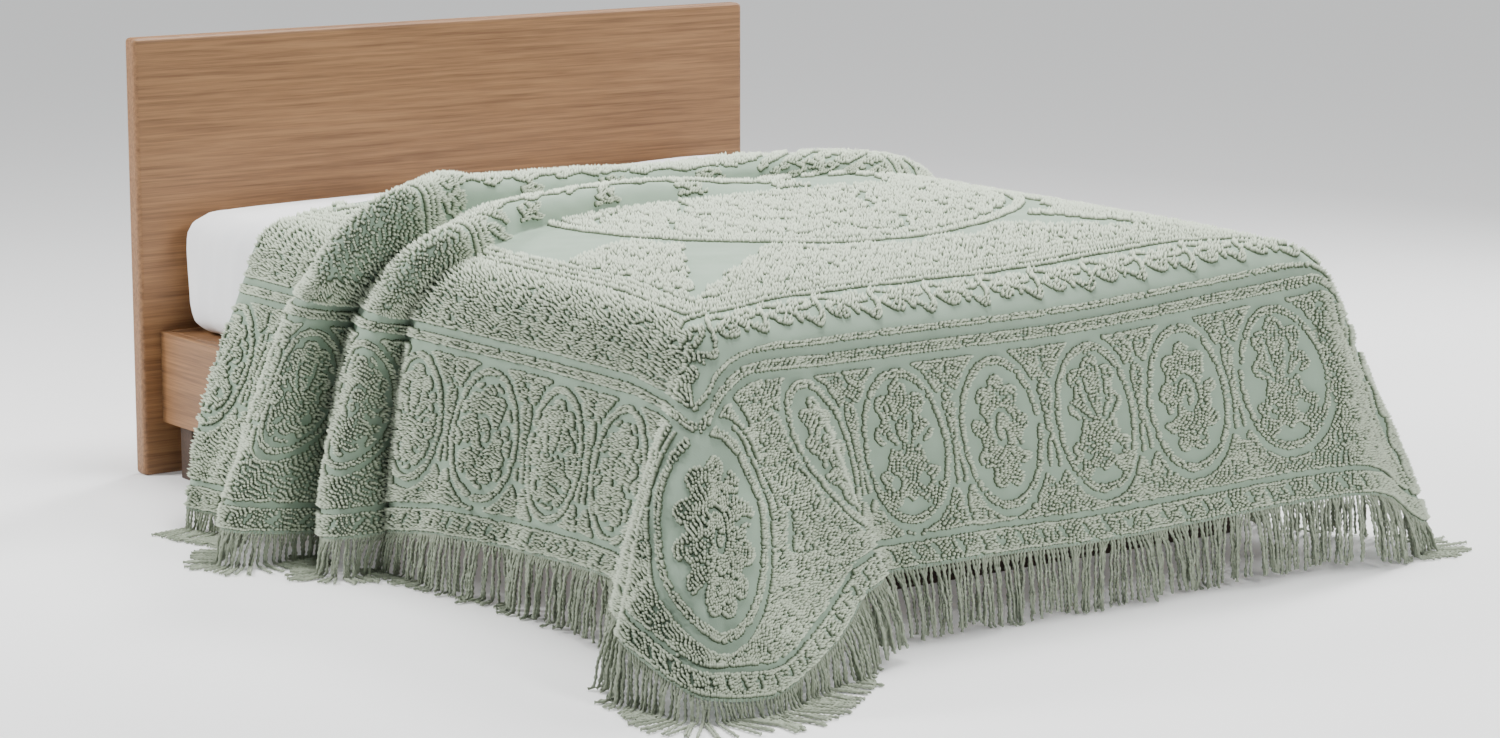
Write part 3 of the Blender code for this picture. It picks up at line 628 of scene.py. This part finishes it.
def pile(u, v):
    """True where the flat cloth carries pile."""
    station = station_of(u, v)
    fall = np.hypot(np.maximum(np.abs(u) - INNER_X, 0), np.maximum(INNER_Y - v, 0))
    hem = drop_at(station) - fall
    foot = v - FOOT_HEM
    sides = SIDE_SCALE * np.minimum(u - LEFT_HEM, RIGHT_HEM - u)
    deep = np.minimum(foot, sides)
    deep = deep + CORNER_PULL * soft_step(np.clip(1 - np.abs(foot - sides) / 0.25, 0, 1))
    along = np.where(foot < sides, u - FIRST_FOOT_ARCH, v - FIRST_SIDE_ARCH)
    on_corner = (np.abs(u) > INNER_X) & (v < INNER_Y)
    start = columns(FOLDS, FOLD_COLUMNS, u)["start"]
    on_side = sides < foot
    round_hem = np.where((station > 0) & (station < 1), 1.15 * station, along)
    dash = (np.abs(np.mod(round_hem + 0.5 * hem, 0.052) - 0.026) < 0.006) & (
        np.abs(hem - 0.030) < 0.013)
    ground = worms(u, v) < 1.50
    bands = [
        ((hem > 0.006) & (hem < 0.052), ~dash),
        ((hem > 0.063) & (deep < 0.385), 
         np.where(on_corner, corner_motif(u, v), wide_border(along, deep - 0.065, on_side)) & ground),
        ((deep > 0.400) & (deep < 0.421), np.ones_like(u, bool)),
        ((deep > 0.440) & (deep < 0.620), narrow_border(along, deep - 0.440, on_side)),
        ((deep > 0.636) & (deep < 0.700), np.mod(deep - 0.636, 0.024) < 0.014),
        ((deep > 0.700) & (v < start), field(u, v, deep, np.abs(foot - sides))),
        ((deep > 0.700) & (v >= start), on_folds(u, v - start, deep)),
    ]
    found = np.zeros(u.shape, bool)
    for where, grows in bands:
        found |= where & grows
    return found & (hem > 0.004) & (v < CLOTH_HEAD - 0.004)


# %% [markdown]
# ## The tufts
# Chenille means caterpillar: each short row of loops looks like one. Hair particles would show
# every fibre but are far too many for a whole bed. A small smooth blob for each loop gives the same
# knobbly surface from a step away. Geometry Nodes place the blobs: the points carry the way out of
# the cloth and the way of their row, and each blob is sized and turned a little by chance.

# %% Points for the tufts: one for each place of a dense lattice where the pattern has pile
ROW_PITCH = 0.0080
TUFT_PITCH = 0.0058
ROW_TURN = np.radians(58)
GAP_SHARE = 0.08
rng = np.random.default_rng(11)


def lattice():
    """Points of the flat cloth along slanting, gently curling rows. Here and there a point is left
    out, so that each row falls into short lengths."""
    reach = 2.2
    first, second = np.meshgrid(np.arange(-reach, reach, TUFT_PITCH),
                                np.arange(-reach, reach, ROW_PITCH))
    first = first + rng.uniform(-0.5, 0.5, (len(first), 1)) * TUFT_PITCH
    first = first + rng.uniform(-0.16, 0.16, first.shape) * TUFT_PITCH
    second = second + rng.uniform(-0.12, 0.12, first.shape) * ROW_PITCH
    second = second + 0.0035 * np.sin(2 * np.pi * first / 0.049 + 2 * np.sin(second / 0.031))
    first = first + 0.0035 * np.sin(2 * np.pi * second / 0.057 + 2 * np.sin(first / 0.037))
    u = first * np.cos(ROW_TURN) - second * np.sin(ROW_TURN)
    v = first * np.sin(ROW_TURN) + second * np.cos(ROW_TURN) - 0.33
    grown = rng.uniform(0, 1, u.shape) > GAP_SHARE
    inside = (u > grid_u.min()) & (u < grid_u.max()) & (v > grid_v.min()) & (v < CLOTH_HEAD)
    return u[grown & inside], v[grown & inside]


# %% Find how far each point lies from the edge of its motif
RASTER = 0.0025
EDGE_BLUR = 0.0045
EDGE_INSET = 0.0030
EDGE_REACH = 0.0040


def softened(mask):
    """The pattern drawn on a fine raster and blurred a little."""
    cells = np.arange(-3, 4) * RASTER
    weight = np.exp(-cells ** 2 / (2 * EDGE_BLUR ** 2))
    weight /= weight.sum()
    rows = sum(w * np.roll(mask, k, 0) for w, k in zip(weight, range(-3, 4)))
    return sum(w * np.roll(rows, k, 1) for w, k in zip(weight, range(-3, 4)))


def read_raster(raster, u, v):
    i = np.clip(((v - raster_v[0]) / RASTER), 0, len(raster_v) - 1.001)
    j = np.clip(((u - raster_u[0]) / RASTER), 0, len(raster_u) - 1.001)
    row, col = i.astype(int), j.astype(int)
    down, right = i - row, j - col
    return ((1 - down) * ((1 - right) * raster[row, col] + right * raster[row, col + 1])
            + down * ((1 - right) * raster[row + 1, col] + right * raster[row + 1, col + 1]))


raster_u = np.arange(grid_u.min(), grid_u.max(), RASTER)
raster_v = np.arange(grid_v.min(), CLOTH_HEAD, RASTER)
soft_mask = softened(pile(*np.meshgrid(raster_u, raster_v)).astype(float))
slope_v, slope_u = np.gradient(soft_mask, RASTER)

# %% Draw the tufts next to an edge up to it, in a row along it
tuft_u, tuft_v = lattice()
level = read_raster(soft_mask, tuft_u, tuft_v)
inward = np.stack([read_raster(slope_u, tuft_u, tuft_v), read_raster(slope_v, tuft_u, tuft_v)], -1)
steep = np.linalg.norm(inward, axis=-1)
inward = unit(inward)
from_edge = (level - 0.5) / np.maximum(steep, 30)
kept = from_edge > -EDGE_REACH
at_edge = kept & (from_edge < EDGE_INSET) & (steep > 30)
shift = np.where(at_edge, EDGE_INSET - from_edge, 0)
tuft_u = (tuft_u + shift * inward[:, 0])[kept]
tuft_v = (tuft_v + shift * inward[:, 1])[kept]
along_edge = np.stack([-inward[:, 1], inward[:, 0]], -1)[kept]
at_edge = at_edge[kept]
print("tufts:", len(tuft_u), "of which along an edge:", at_edge.sum())


# %% Small helpers for node trees
def paint(code):
    """A colour written as on a web page, as the linear values that Blender's nodes use."""
    parts = [int(code[i:i + 2], 16) / 255 for i in (1, 3, 5)]
    return tuple(p / 12.92 if p <= 0.04045 else ((p + 0.055) / 1.055) ** 2.4
                 for p in parts) + (1.0,)


def add(tree, kind, inputs=None, **settings):
    """Adds a node, sets its options, and fills its inputs with values or other nodes' outputs."""
    made = tree.nodes.new(kind)
    for name, value in settings.items():
        setattr(made, name, value)
    for name, value in (inputs or {}).items():
        if isinstance(value, bpy.types.NodeSocket):
            tree.links.new(value, made.inputs[name])
        else:
            made.inputs[name].default_value = value
    return made


def new_group(name, sizes):
    """An empty Geometry Nodes group with named number inputs."""
    tree = bpy.data.node_groups.new(name, "GeometryNodeTree")
    tree.interface.new_socket("Geometry", in_out="INPUT", socket_type="NodeSocketGeometry")
    for label, kind, value in sizes:
        made = tree.interface.new_socket(label, in_out="INPUT", socket_type="NodeSocket" + kind)
        made.default_value = value
    tree.interface.new_socket("Geometry", in_out="OUTPUT", socket_type="NodeSocketGeometry")
    return tree, tree.nodes.new("NodeGroupInput").outputs


def run_group(obj, tree, values):
    """Runs a group on an object with the given input values, and keeps the mesh that it makes."""
    modifier = obj.modifiers.new(tree.name, "NODES")
    modifier.node_group = tree
    for item in tree.interface.items_tree:
        if item.item_type == "SOCKET" and item.in_out == "INPUT" and item.name in values:
            modifier[item.identifier] = values[item.name]
    obj.update_tag()
    bpy.context.view_layer.update()
    return as_plain_mesh(obj)


# %% [markdown]
# ## Materials of the cloth
# Cotton scatters light and has a faint velvety sheen. The plain ground shows a fine weave, the pile
# is paler, with painted shade that darkens each tuft towards its root, and the fringe is a little
# greyer. Each material is procedural: its colours and its relief come from noise drawn at real size.

# %% Cotton ground, chenille pile and twisted cord
def cotton(name, dark, light, patch, relief_size, relief, sheen, mapped="Object"):
    """A soft cotton: two tones mixed in patches, and a fine relief. Sizes are in millimetres."""
    made = bpy.data.materials.new(name)
    made.use_nodes = True
    tree = made.node_tree
    shader = tree.nodes["Principled BSDF"]
    place = add(tree, "ShaderNodeTexCoord").outputs[mapped]
    tone = add(tree, "ShaderNodeTexNoise", {"Vector": place, "Scale": 1000 / patch, "Detail": 4.0})
    mixed = add(tree, "ShaderNodeMix", {"Factor": tone.outputs["Fac"]}, data_type="RGBA")
    mixed.inputs[6].default_value = paint(dark)
    mixed.inputs[7].default_value = paint(light)
    tree.links.new(mixed.outputs[2], shader.inputs["Base Color"])
    grain = add(tree, "ShaderNodeTexNoise",
                {"Vector": place, "Scale": 1000 / relief_size, "Detail": 3.0})
    bump = add(tree, "ShaderNodeBump", {"Height": grain.outputs["Fac"], "Strength": 0.6,
                                        "Distance": relief / 1000})
    tree.links.new(bump.outputs["Normal"], shader.inputs["Normal"])
    shader.inputs["Roughness"].default_value = 0.95
    shader.inputs["Specular IOR Level"].default_value = 0.15
    shader.inputs["Sheen Weight"].default_value = sheen
    shader.inputs["Sheen Roughness"].default_value = 0.5
    return made


def paint_root_shade(stuff, root):
    """Painted shade: darkens a tuft's colour towards its root. The tufts carry how near each point is to a tip."""
    tree = stuff.node_tree
    shader = tree.nodes["Principled BSDF"]
    tone = shader.inputs["Base Color"].links[0].from_socket
    tip = add(tree, "ShaderNodeAttribute", attribute_name="tip")
    above = add(tree, "ShaderNodeMapRange", {"Value": tip.outputs["Fac"], "From Min": 0.22,
                                             "From Max": 0.72})
    mixed = add(tree, "ShaderNodeMix", {"Factor": above.outputs[0]}, data_type="RGBA")
    mixed.inputs[6].default_value = paint(root)
    tree.links.new(tone, mixed.inputs[7])
    tree.links.new(mixed.outputs[2], shader.inputs["Base Color"])


# Plain cotton, woven and washed: the eye sees a flat sage green with a fine crepe-like surface.
# Its threads are 0.5 mm apart, which would blur, so the relief is drawn at 3 mm.
cotton_ground = cotton("cotton_ground", "#889B89", "#9CAF9D", 70, 3, 0.5, 0.08, "UV")
# Chenille pile, cut loops of soft yarn: the eye sees paler, creamier knobs; their dark gaps are painted shade at
# the roots.
chenille_pile = cotton("chenille_pile", "#BCC9B0", "#DBE3CF", 9, 2.2, 0.8, 0.12)
# Painted shade: each tuft darkens to this green-grey near its root, where the tufts shade each other.
paint_root_shade(chenille_pile, "#53604B")
# Twisted cotton cord: the eye sees greyer strands, each a little lighter or darker.
cotton_cord = cotton("cotton_cord", "#7B8471", "#ADB5A2", 12, 1.5, 0.4, 0.1)
bedspread.data.materials.append(cotton_ground)

# %% The tuft group
tuft_tree, given = new_group("Tufts", [("Length", "Float", 0.011), ("Width", "Float", 0.008),
                                       ("Height", "Float", 0.008), ("Turn", "Float", 0.7),
                                       ("Seed", "Int", 1)])


def field_of(name):
    return add(tuft_tree, "GeometryNodeInputNamedAttribute", {"Name": name},
               data_type="FLOAT_VECTOR").outputs["Attribute"]


upright = add(tuft_tree, "FunctionNodeAlignRotationToVector",
              {"Vector": field_of("out")}, axis="Z")
in_row = add(tuft_tree, "FunctionNodeAlignRotationToVector",
             {"Rotation": upright.outputs[0], "Vector": field_of("row")}, axis="X",
             pivot_axis="Z")
less = add(tuft_tree, "ShaderNodeMath", {0: 0.0, 1: given["Turn"]}, operation="SUBTRACT")
chance_turn = add(tuft_tree, "FunctionNodeRandomValue",
                  {2: less.outputs[0], 3: given["Turn"], "Seed": given["Seed"]})
turned_by = add(tuft_tree, "ShaderNodeCombineXYZ", {"Z": chance_turn.outputs[1]})
as_turn = add(tuft_tree, "FunctionNodeEulerToRotation", {"Euler": turned_by.outputs[0]})
turned = add(tuft_tree, "FunctionNodeRotateRotation",
             {"Rotation": in_row.outputs[0], "Rotate By": as_turn.outputs[0]},
             rotation_space="LOCAL")
size = add(tuft_tree, "ShaderNodeCombineXYZ",
           {"X": given["Length"], "Y": given["Width"], "Z": given["Height"]})
chance = add(tuft_tree, "FunctionNodeRandomValue", {2: 0.78, 3: 1.25, "Seed": given["Seed"]})
grown = add(tuft_tree, "ShaderNodeVectorMath", {0: size.outputs[0], 3: chance.outputs[1]},
            operation="SCALE")
blob = add(tuft_tree, "GeometryNodeMeshCone", {"Vertices": 5, "Radius Top": 0.0,
                                               "Radius Bottom": 0.5, "Depth": 1.0}, fill_type="NONE")
# Each point's height in the cone is kept as tip; the pile material turns it into painted shade near the root.
height_in_blob = add(tuft_tree, "ShaderNodeSeparateXYZ",
                     {0: add(tuft_tree, "GeometryNodeInputPosition").outputs[0]})
marked = add(tuft_tree, "GeometryNodeStoreNamedAttribute",
             {"Geometry": blob.outputs["Mesh"], "Name": "tip", "Value": height_in_blob.outputs["Z"]},
             data_type="FLOAT", domain="POINT")
placed = add(tuft_tree, "GeometryNodeInstanceOnPoints",
             {"Points": given["Geometry"], "Instance": marked.outputs[0],
              "Rotation": turned.outputs[0], "Scale": grown.outputs[0]})
joined = add(tuft_tree, "GeometryNodeRealizeInstances", {0: placed.outputs[0]})
smooth = add(tuft_tree, "GeometryNodeSetShadeSmooth", {0: joined.outputs[0]})
dressed = add(tuft_tree, "GeometryNodeSetMaterial",
              {"Geometry": smooth.outputs[0], "Material": chenille_pile})
add(tuft_tree, "NodeGroupOutput", {"Geometry": dressed.outputs[0]})
print("tuft nodes:", len(tuft_tree.nodes))


# %% Grow the tufts, a quarter of the cloth at a time
def point_cloud(name, points, vectors):
    """A mesh of single points that carry named vectors."""
    mesh = bpy.data.meshes.new(name)
    mesh.from_pydata(points.tolist(), [], [])
    for label, values in vectors.items():
        layer = mesh.attributes.new(label, "FLOAT_VECTOR", "POINT")
        layer.data.foreach_set("vector", values.astype(np.float32).ravel())
    obj = bpy.data.objects.new(name, mesh)
    bpy.context.scene.collection.objects.link(obj)
    return obj


TUFT_LIFT = -0.0008
spot, across, along, out = cloth_frame(tuft_u, tuft_v)
row_u = np.where(at_edge, along_edge[:, 0], np.cos(ROW_TURN))
row_v = np.where(at_edge, along_edge[:, 1], np.sin(ROW_TURN))
row = across * row_u[:, None] + along * row_v[:, None]
quarters = {"pile_left": tuft_u < -0.72, "pile_foot": (tuft_u >= -0.72) & (tuft_v < -0.88),
            "pile_right": (tuft_u >= 0.62) & (tuft_v >= -0.88),
            "pile_top": (tuft_u >= -0.72) & (tuft_u < 0.62) & (tuft_v >= -0.88)}
tufts = []
for seed, (name, chosen) in enumerate(quarters.items()):
    cloud = point_cloud(name, spot[chosen] + TUFT_LIFT * out[chosen],
                        {"out": out[chosen], "row": row[chosen]})
    tufts.append(run_group(cloud, tuft_tree, {"Length": 0.0100, "Width": 0.0092,
                                              "Height": 0.0120, "Turn": 0.4, "Seed": seed}))
    print(name, "tufts:", chosen.sum(), "faces:", len(tufts[-1].data.polygons))

# %% [markdown]
# ## The fringe
# Each cord of the fringe is two yarns twisted together, knotted through the hem. It hangs from the
# hem, leans on its neighbours, and where the cloth is long it bends on the floor and lies there.
# A curve with a narrow section that turns as it runs looks like the two twisted yarns and needs few
# faces.

# %% The hem, and where the cords start on it
CORDS = 840
CORD_LENGTH = 0.134
CORD_STEPS = 25
CORD_SAG = 1.6
CORD_WAVE = 0.09
CORD_WAVE_STEPS = 9
FRINGE_ENDS = (-1.805, 5.200)


def hem_line(u, v):
    """The hem from head to head: station, place, way down and outward way of each point on it."""
    edge_u = np.concatenate([u[:0:-1, 0], u[0], u[1:, -1]])
    edge_v = np.concatenate([v[:0:-1, 0], v[0], v[1:, -1]])
    station = station_of(edge_u, edge_v)
    place, _, _, out = cloth_frame(edge_u, edge_v)
    inner, _, _, _ = cloth_frame(*flat_point(station, drop_at(station) - 0.01))
    return station, place - CLOTH_THICKNESS / 2 * out, unit(place - inner), out


def on_hem(line, station):
    place, down, out = (np.stack([np.interp(station, line[0], values[:, axis])
                                  for axis in range(3)], -1) for values in line[1:])
    return place, unit(down), unit(out)


line = hem_line(grid_u, grid_v)
dense = np.linspace(*FRINGE_ENDS, 4000)
run = np.linalg.norm(np.diff(on_hem(line, dense)[0], axis=0), axis=1)
run = np.concatenate([[0], np.cumsum(run)])
stations = np.interp(np.linspace(0, run[-1], CORDS), run, dense)
print("hem with fringe:", run[-1], "m, a cord each", run[-1] / CORDS * 1000, "mm")


# %% Let the cords hang
def wander(count, spread):
    """Slow random changes from cord to cord, which make the cords lean in clumps."""
    rough = rng.normal(0, 1, count + 2 * spread)
    return np.convolve(rough, np.hanning(2 * spread + 1), "valid") / np.sqrt(spread * 0.75)


def hang(line, stations):
    """The points of each cord, from the hem to its tip."""
    place, down, out = on_hem(line, stations)
    side = unit(np.gradient(place, axis=0))
    count = len(stations)
    lean = 0.10 * wander(count, 7) + 0.07 * rng.normal(0, 1, count)
    push = 0.07 * wander(count, 5) + 0.07 * rng.normal(0, 1, count)
    length = CORD_LENGTH * (1 + 0.035 * wander(count, 6) + 0.03 * rng.normal(0, 1, count))
    level = unit(out * [1, 1, 0] + 0.35 * (lean / 0.15)[:, None] * side * [1, 1, 0])
    way = unit(down + lean[:, None] * side + push[:, None] * out)
    step = length / CORD_STEPS
    points = [place - 0.004 * down]
    start = rng.uniform(0, 2 * np.pi, (2, count, 1))
    for k in range(CORD_STEPS):
        bend = CORD_WAVE * np.cos(2 * np.pi * k / CORD_WAVE_STEPS + start)
        way = unit(way + bend[0] * side + bend[1] * out + CORD_SAG / CORD_STEPS * np.array([0, 0, -1.0]))
        below = points[-1] + way * step[:, None]
        low = below[:, 2] < FLOOR_LEVEL
        lying = points[-1] + level * step[:, None]
        lying[:, 2] = np.maximum(FLOOR_LEVEL, below[:, 2])
        points.append(np.where(low[:, None], lying, below))
        way = np.where(low[:, None], level * [1, 1, 0] + [0, 0, -0.2], way)
    return np.stack(points, 1)


cords = hang(line, stations)
print("lowest cord point:", cords[..., 2].min(), "tips on the floor:",
      (cords[:, -1, 2] < 2 * FLOOR_LEVEL).sum())

# %% The cord group
cord_tree, given = new_group("Cords", [("Width", "Float", 0.0062), ("Flatness", "Float", 0.55),
                                       ("Twist length", "Float", 0.018)])
curve = add(cord_tree, "GeometryNodeMeshToCurve", {0: given["Geometry"]})
so_far = add(cord_tree, "GeometryNodeSplineParameter")
turns = add(cord_tree, "ShaderNodeMath", {0: so_far.outputs["Length"], 1: given["Twist length"]},
            operation="DIVIDE")
angle = add(cord_tree, "ShaderNodeMath", {0: turns.outputs[0], 1: 2 * np.pi}, operation="MULTIPLY")
twisted = add(cord_tree, "GeometryNodeSetCurveTilt", {"Curve": curve.outputs[0],
                                                      "Tilt": angle.outputs[0]})
section = add(cord_tree, "GeometryNodeCurvePrimitiveCircle", {"Resolution": 4, "Radius": 0.5})
narrow = add(cord_tree, "ShaderNodeCombineXYZ", {"X": 1.0, "Y": given["Flatness"], "Z": 1.0})
sized = add(cord_tree, "ShaderNodeVectorMath", {0: narrow.outputs[0], 3: given["Width"]},
            operation="SCALE")
profile = add(cord_tree, "GeometryNodeTransform", {"Geometry": section.outputs[0],
                                                   "Scale": sized.outputs[0]})
tube = add(cord_tree, "GeometryNodeCurveToMesh", {"Curve": twisted.outputs[0],
                                                  "Profile Curve": profile.outputs[0],
                                                  "Fill Caps": True})
smooth = add(cord_tree, "GeometryNodeSetShadeSmooth", {0: tube.outputs[0]})
dressed = add(cord_tree, "GeometryNodeSetMaterial", {"Geometry": smooth.outputs[0],
                                                     "Material": cotton_cord})
add(cord_tree, "NodeGroupOutput", {"Geometry": dressed.outputs[0]})

# %% Twist the cords of the left side, of the foot and of the right side
fringes = []
for name, first, last in (("fringe_cords_left", -9, 0.46), ("fringe_cords_foot", 0.46, 2.91),
                          ("fringe_cords_right", 2.91, 9)):
    chosen = cords[(stations >= first) & (stations < last)]
    index = np.arange(chosen.shape[0] * chosen.shape[1]).reshape(chosen.shape[:2])
    mesh = bpy.data.meshes.new(name)
    mesh.from_pydata(chosen.reshape(-1, 3).tolist(),
                     np.stack([index[:, :-1], index[:, 1:]], -1).reshape(-1, 2).tolist(), [])
    obj = bpy.data.objects.new(name, mesh)
    bpy.context.scene.collection.objects.link(obj)
    fringes.append(run_group(obj, cord_tree, {"Width": 0.0084, "Flatness": 0.5,
                                              "Twist length": 0.018}))
    print(name, "cords:", len(chosen), "faces:", len(obj.data.polygons))

# %% [markdown]
# ## The sheet on the mattress
# A fitted cotton sheet covers the firm mattress and shows at the head. It is drawn tight round the
# edges, where it makes soft slanting wrinkles. The mattress doesn't give, so its shape is remeshed
# and rippled instead of being blown up like a pillow.

# %% Remesh the mattress and ripple its sheet
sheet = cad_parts["mattress"].copy()
sheet.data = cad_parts["mattress"].data.copy()
sheet.name = sheet.data.name = "mattress_sheet"
for key in [key for key in sheet.keys() if key.startswith("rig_")]:
    del sheet[key]
bpy.context.scene.collection.objects.link(sheet)
remesh = sheet.modifiers.new("Even faces", "REMESH")
remesh.mode = "VOXEL"
remesh.voxel_size = 0.024
as_plain_mesh(sheet)
points = np.empty(len(sheet.data.vertices) * 3, np.float32)
sheet.data.vertices.foreach_get("co", points)
points = points.reshape(-1, 3).astype(float)
middle = (mattress_low + mattress_high) / 2
x, y, z = (points - middle).T
side_wall = soft_step(np.clip((np.abs(x) - 0.62) / 0.1, 0, 1))
depth = 0.0028 * side_wall * (1 + np.sin(2 * np.pi * (y / 0.095 + z / 0.30)
                                         + 1.5 * np.sin(2 * np.pi * y / 0.41)))
points[:, 0] -= np.sign(x) * depth
sheet.data.vertices.foreach_set("co", points.astype(np.float32).ravel())
sheet.data.shade_smooth()
# White cotton sheeting: the eye sees a smooth, slightly cool white with soft wrinkles.
white_cotton = cotton("white_cotton", "#E6E7E9", "#F2F2F2", 90, 3, 0.3, 0.05)
sheet.data.materials.clear()
sheet.data.materials.append(white_cotton)
print("sheet faces:", len(sheet.data.polygons))

# %% [markdown]
# ## The wood
# The bed is made of stained boards. The boards keep their measured shape, and the grain is drawn by
# a coarse noise stretched along each board and a finer one for its pores, as in a plank sawn along
# the trunk.

# %% Stained wood for the boards
def wood(name, dark, light, stretch):
    """Wood whose grain runs along the axis with the smallest number in stretch."""
    made = bpy.data.materials.new(name)
    made.use_nodes = True
    tree = made.node_tree
    shader = tree.nodes["Principled BSDF"]
    place = add(tree, "ShaderNodeTexCoord").outputs["Object"]
    long = add(tree, "ShaderNodeMapping", {"Vector": place, "Scale": stretch})
    rings = add(tree, "ShaderNodeTexNoise", {"Vector": long.outputs[0], "Scale": 30.0,
                                             "Detail": 6.0, "Distortion": 0.25})
    pores = add(tree, "ShaderNodeTexNoise", {"Vector": long.outputs[0], "Scale": 150.0,
                                             "Detail": 2.0})
    both = add(tree, "ShaderNodeMix", {0: 0.35, 2: rings.outputs["Fac"], 3: pores.outputs["Fac"]},
               data_type="FLOAT")
    ramp = add(tree, "ShaderNodeValToRGB", {"Fac": both.outputs[0]})
    ramp.color_ramp.elements[0].position = 0.35
    ramp.color_ramp.elements[0].color = paint(dark)
    ramp.color_ramp.elements[1].position = 0.62
    ramp.color_ramp.elements[1].color = paint(light)
    tree.links.new(ramp.outputs["Color"], shader.inputs["Base Color"])
    bump = add(tree, "ShaderNodeBump", {"Height": both.outputs[0], "Strength": 0.4,
                                        "Distance": 0.0006})
    tree.links.new(bump.outputs["Normal"], shader.inputs["Normal"])
    shader.inputs["Roughness"].default_value = 0.5
    return made


# Brown stained oak: the eye sees a warm mid-brown with fine darker streaks along the board.
brown_across = wood("stained_oak_across", "#6B4A2E", "#956D48", (0.08, 6.0, 4.0))
brown_along = wood("stained_oak_along", "#6B4A2E", "#956D48", (6.0, 0.08, 4.0))
# Pine of the plinths with its grain, painted nearly black-brown: painted shade for the shadow under the bed.
pine_painted_shade = wood("pine_with_painted_shade", "#33251B", "#4A3527", (0.6, 6.0, 6.0))
boards = {"headboard": brown_across, "foot_rail": brown_across, "deck": brown_across,
          "side_rail_left": brown_along, "side_rail_right": brown_along,
          "plinth_head": pine_painted_shade, "plinth_foot": pine_painted_shade}
for name, stuff in boards.items():
    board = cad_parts[name]
    for material_slot in board.material_slots:
        material_slot.material = stuff
print("boards:", ", ".join(boards))

# %% [markdown]
# ## Who follows what
# Each finished piece rides on the measured model and stands for the plain solid that it replaces.

# %% Tie the pieces to the model
fringe_nodes = [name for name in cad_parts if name.startswith("fringe")]
for piece in [bedspread, sheet] + tufts + fringes:
    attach(piece, "root")
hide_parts("bedspread")
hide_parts("mattress")
for piece, words in zip(fringes, (("left", "near_corner_side"), ("near_corner_front", "foot",
                                  "far_corner_front"), ("right", "far_corner_side"))):
    nodes = [name for name in fringe_nodes if any(word in name for word in words)]
    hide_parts(*nodes)

# %% [markdown]
# ## Floor, light and camera
# The bed stands on a plain pale floor in soft daylight, as in a studio: even light from the right
# and behind rakes over the top, large lamps fill the sides, and a pale surround fills the shadows.

# %% Floor and surround
floor_mesh = bpy.data.meshes.new("floor")
bm = bmesh.new()
bmesh.ops.create_grid(bm, x_segments=1, y_segments=1, size=30)
bm.to_mesh(floor_mesh)
bm.free()
floor = bpy.data.objects.new("floor", floor_mesh)
bpy.context.scene.collection.objects.link(floor)
floor_paint = bpy.data.materials.new("pale_floor")
floor_paint.use_nodes = True
floor_paint.node_tree.nodes["Principled BSDF"].inputs["Base Color"].default_value = (
    0.9, 0.9, 0.9, 1)
floor_paint.node_tree.nodes["Principled BSDF"].inputs["Roughness"].default_value = 0.9
floor_paint.node_tree.nodes["Principled BSDF"].inputs["Emission Color"].default_value = (1, 1, 1, 1)
floor_paint.node_tree.nodes["Principled BSDF"].inputs["Emission Strength"].default_value = 0.15
floor_mesh.materials.append(floor_paint)
world = bpy.data.worlds.new("pale surround")
world.use_nodes = True
bpy.context.scene.world = world
world.node_tree.nodes["Background"].inputs["Color"].default_value = (0.93, 0.98, 1.0, 1)
world.node_tree.nodes["Background"].inputs["Strength"].default_value = 0.20

# %% Lamps
LAMPS = [("right window", (4.2, 0.9, 2.6), 1.2, 130.0), ("front window", (0.6, -4.6, 3.6), 1.2, 155.0),
         ("left window", (-3.8, 2.8, 3.2), 1.2, 250.0), ("skylight", (0.2, 0.4, 4.4), 1.6, 230.0)]
for name, place, width, power in LAMPS:
    light = bpy.data.lights.new(name, "AREA")
    light.size = width
    light.energy = power
    lamp = bpy.data.objects.new(name, light)
    lamp.location = place
    lamp.rotation_mode = "QUATERNION"
    lamp.rotation_quaternion = (Vector(place) - Vector((0, -0.2, 0.4))).to_track_quat("Z", "Y")
    bpy.context.scene.collection.objects.link(lamp)
day = bpy.data.lights.new("even daylight", "SUN")
day.energy = 2.1
day.angle = np.radians(14)
day_lamp = bpy.data.objects.new("even daylight", day)
day_lamp.rotation_mode = "QUATERNION"
day_lamp.rotation_quaternion = Vector((0.75, 0.40, 0.80)).to_track_quat("Z", "Y")
bpy.context.scene.collection.objects.link(day_lamp)

# %% Camera
CAMERA_TURN = np.radians(-35.8)
CAMERA_TILT = np.radians(10.08)
camera_data = bpy.data.cameras.new("camera")
camera_data.lens = 93.6
camera_data.sensor_width = 36
camera_data.clip_end = 100
camera = bpy.data.objects.new("camera", camera_data)
camera.location = Vector((-4.761, -6.726, 1.777)) + Vector(SHIFT)
back = Vector((np.sin(CAMERA_TURN) * np.cos(CAMERA_TILT),
               -np.cos(CAMERA_TURN) * np.cos(CAMERA_TILT), np.sin(CAMERA_TILT)))
camera.rotation_mode = "QUATERNION"
camera.rotation_quaternion = back.to_track_quat("Z", "Y")
bpy.context.scene.collection.objects.link(camera)
bpy.context.scene.camera = camera
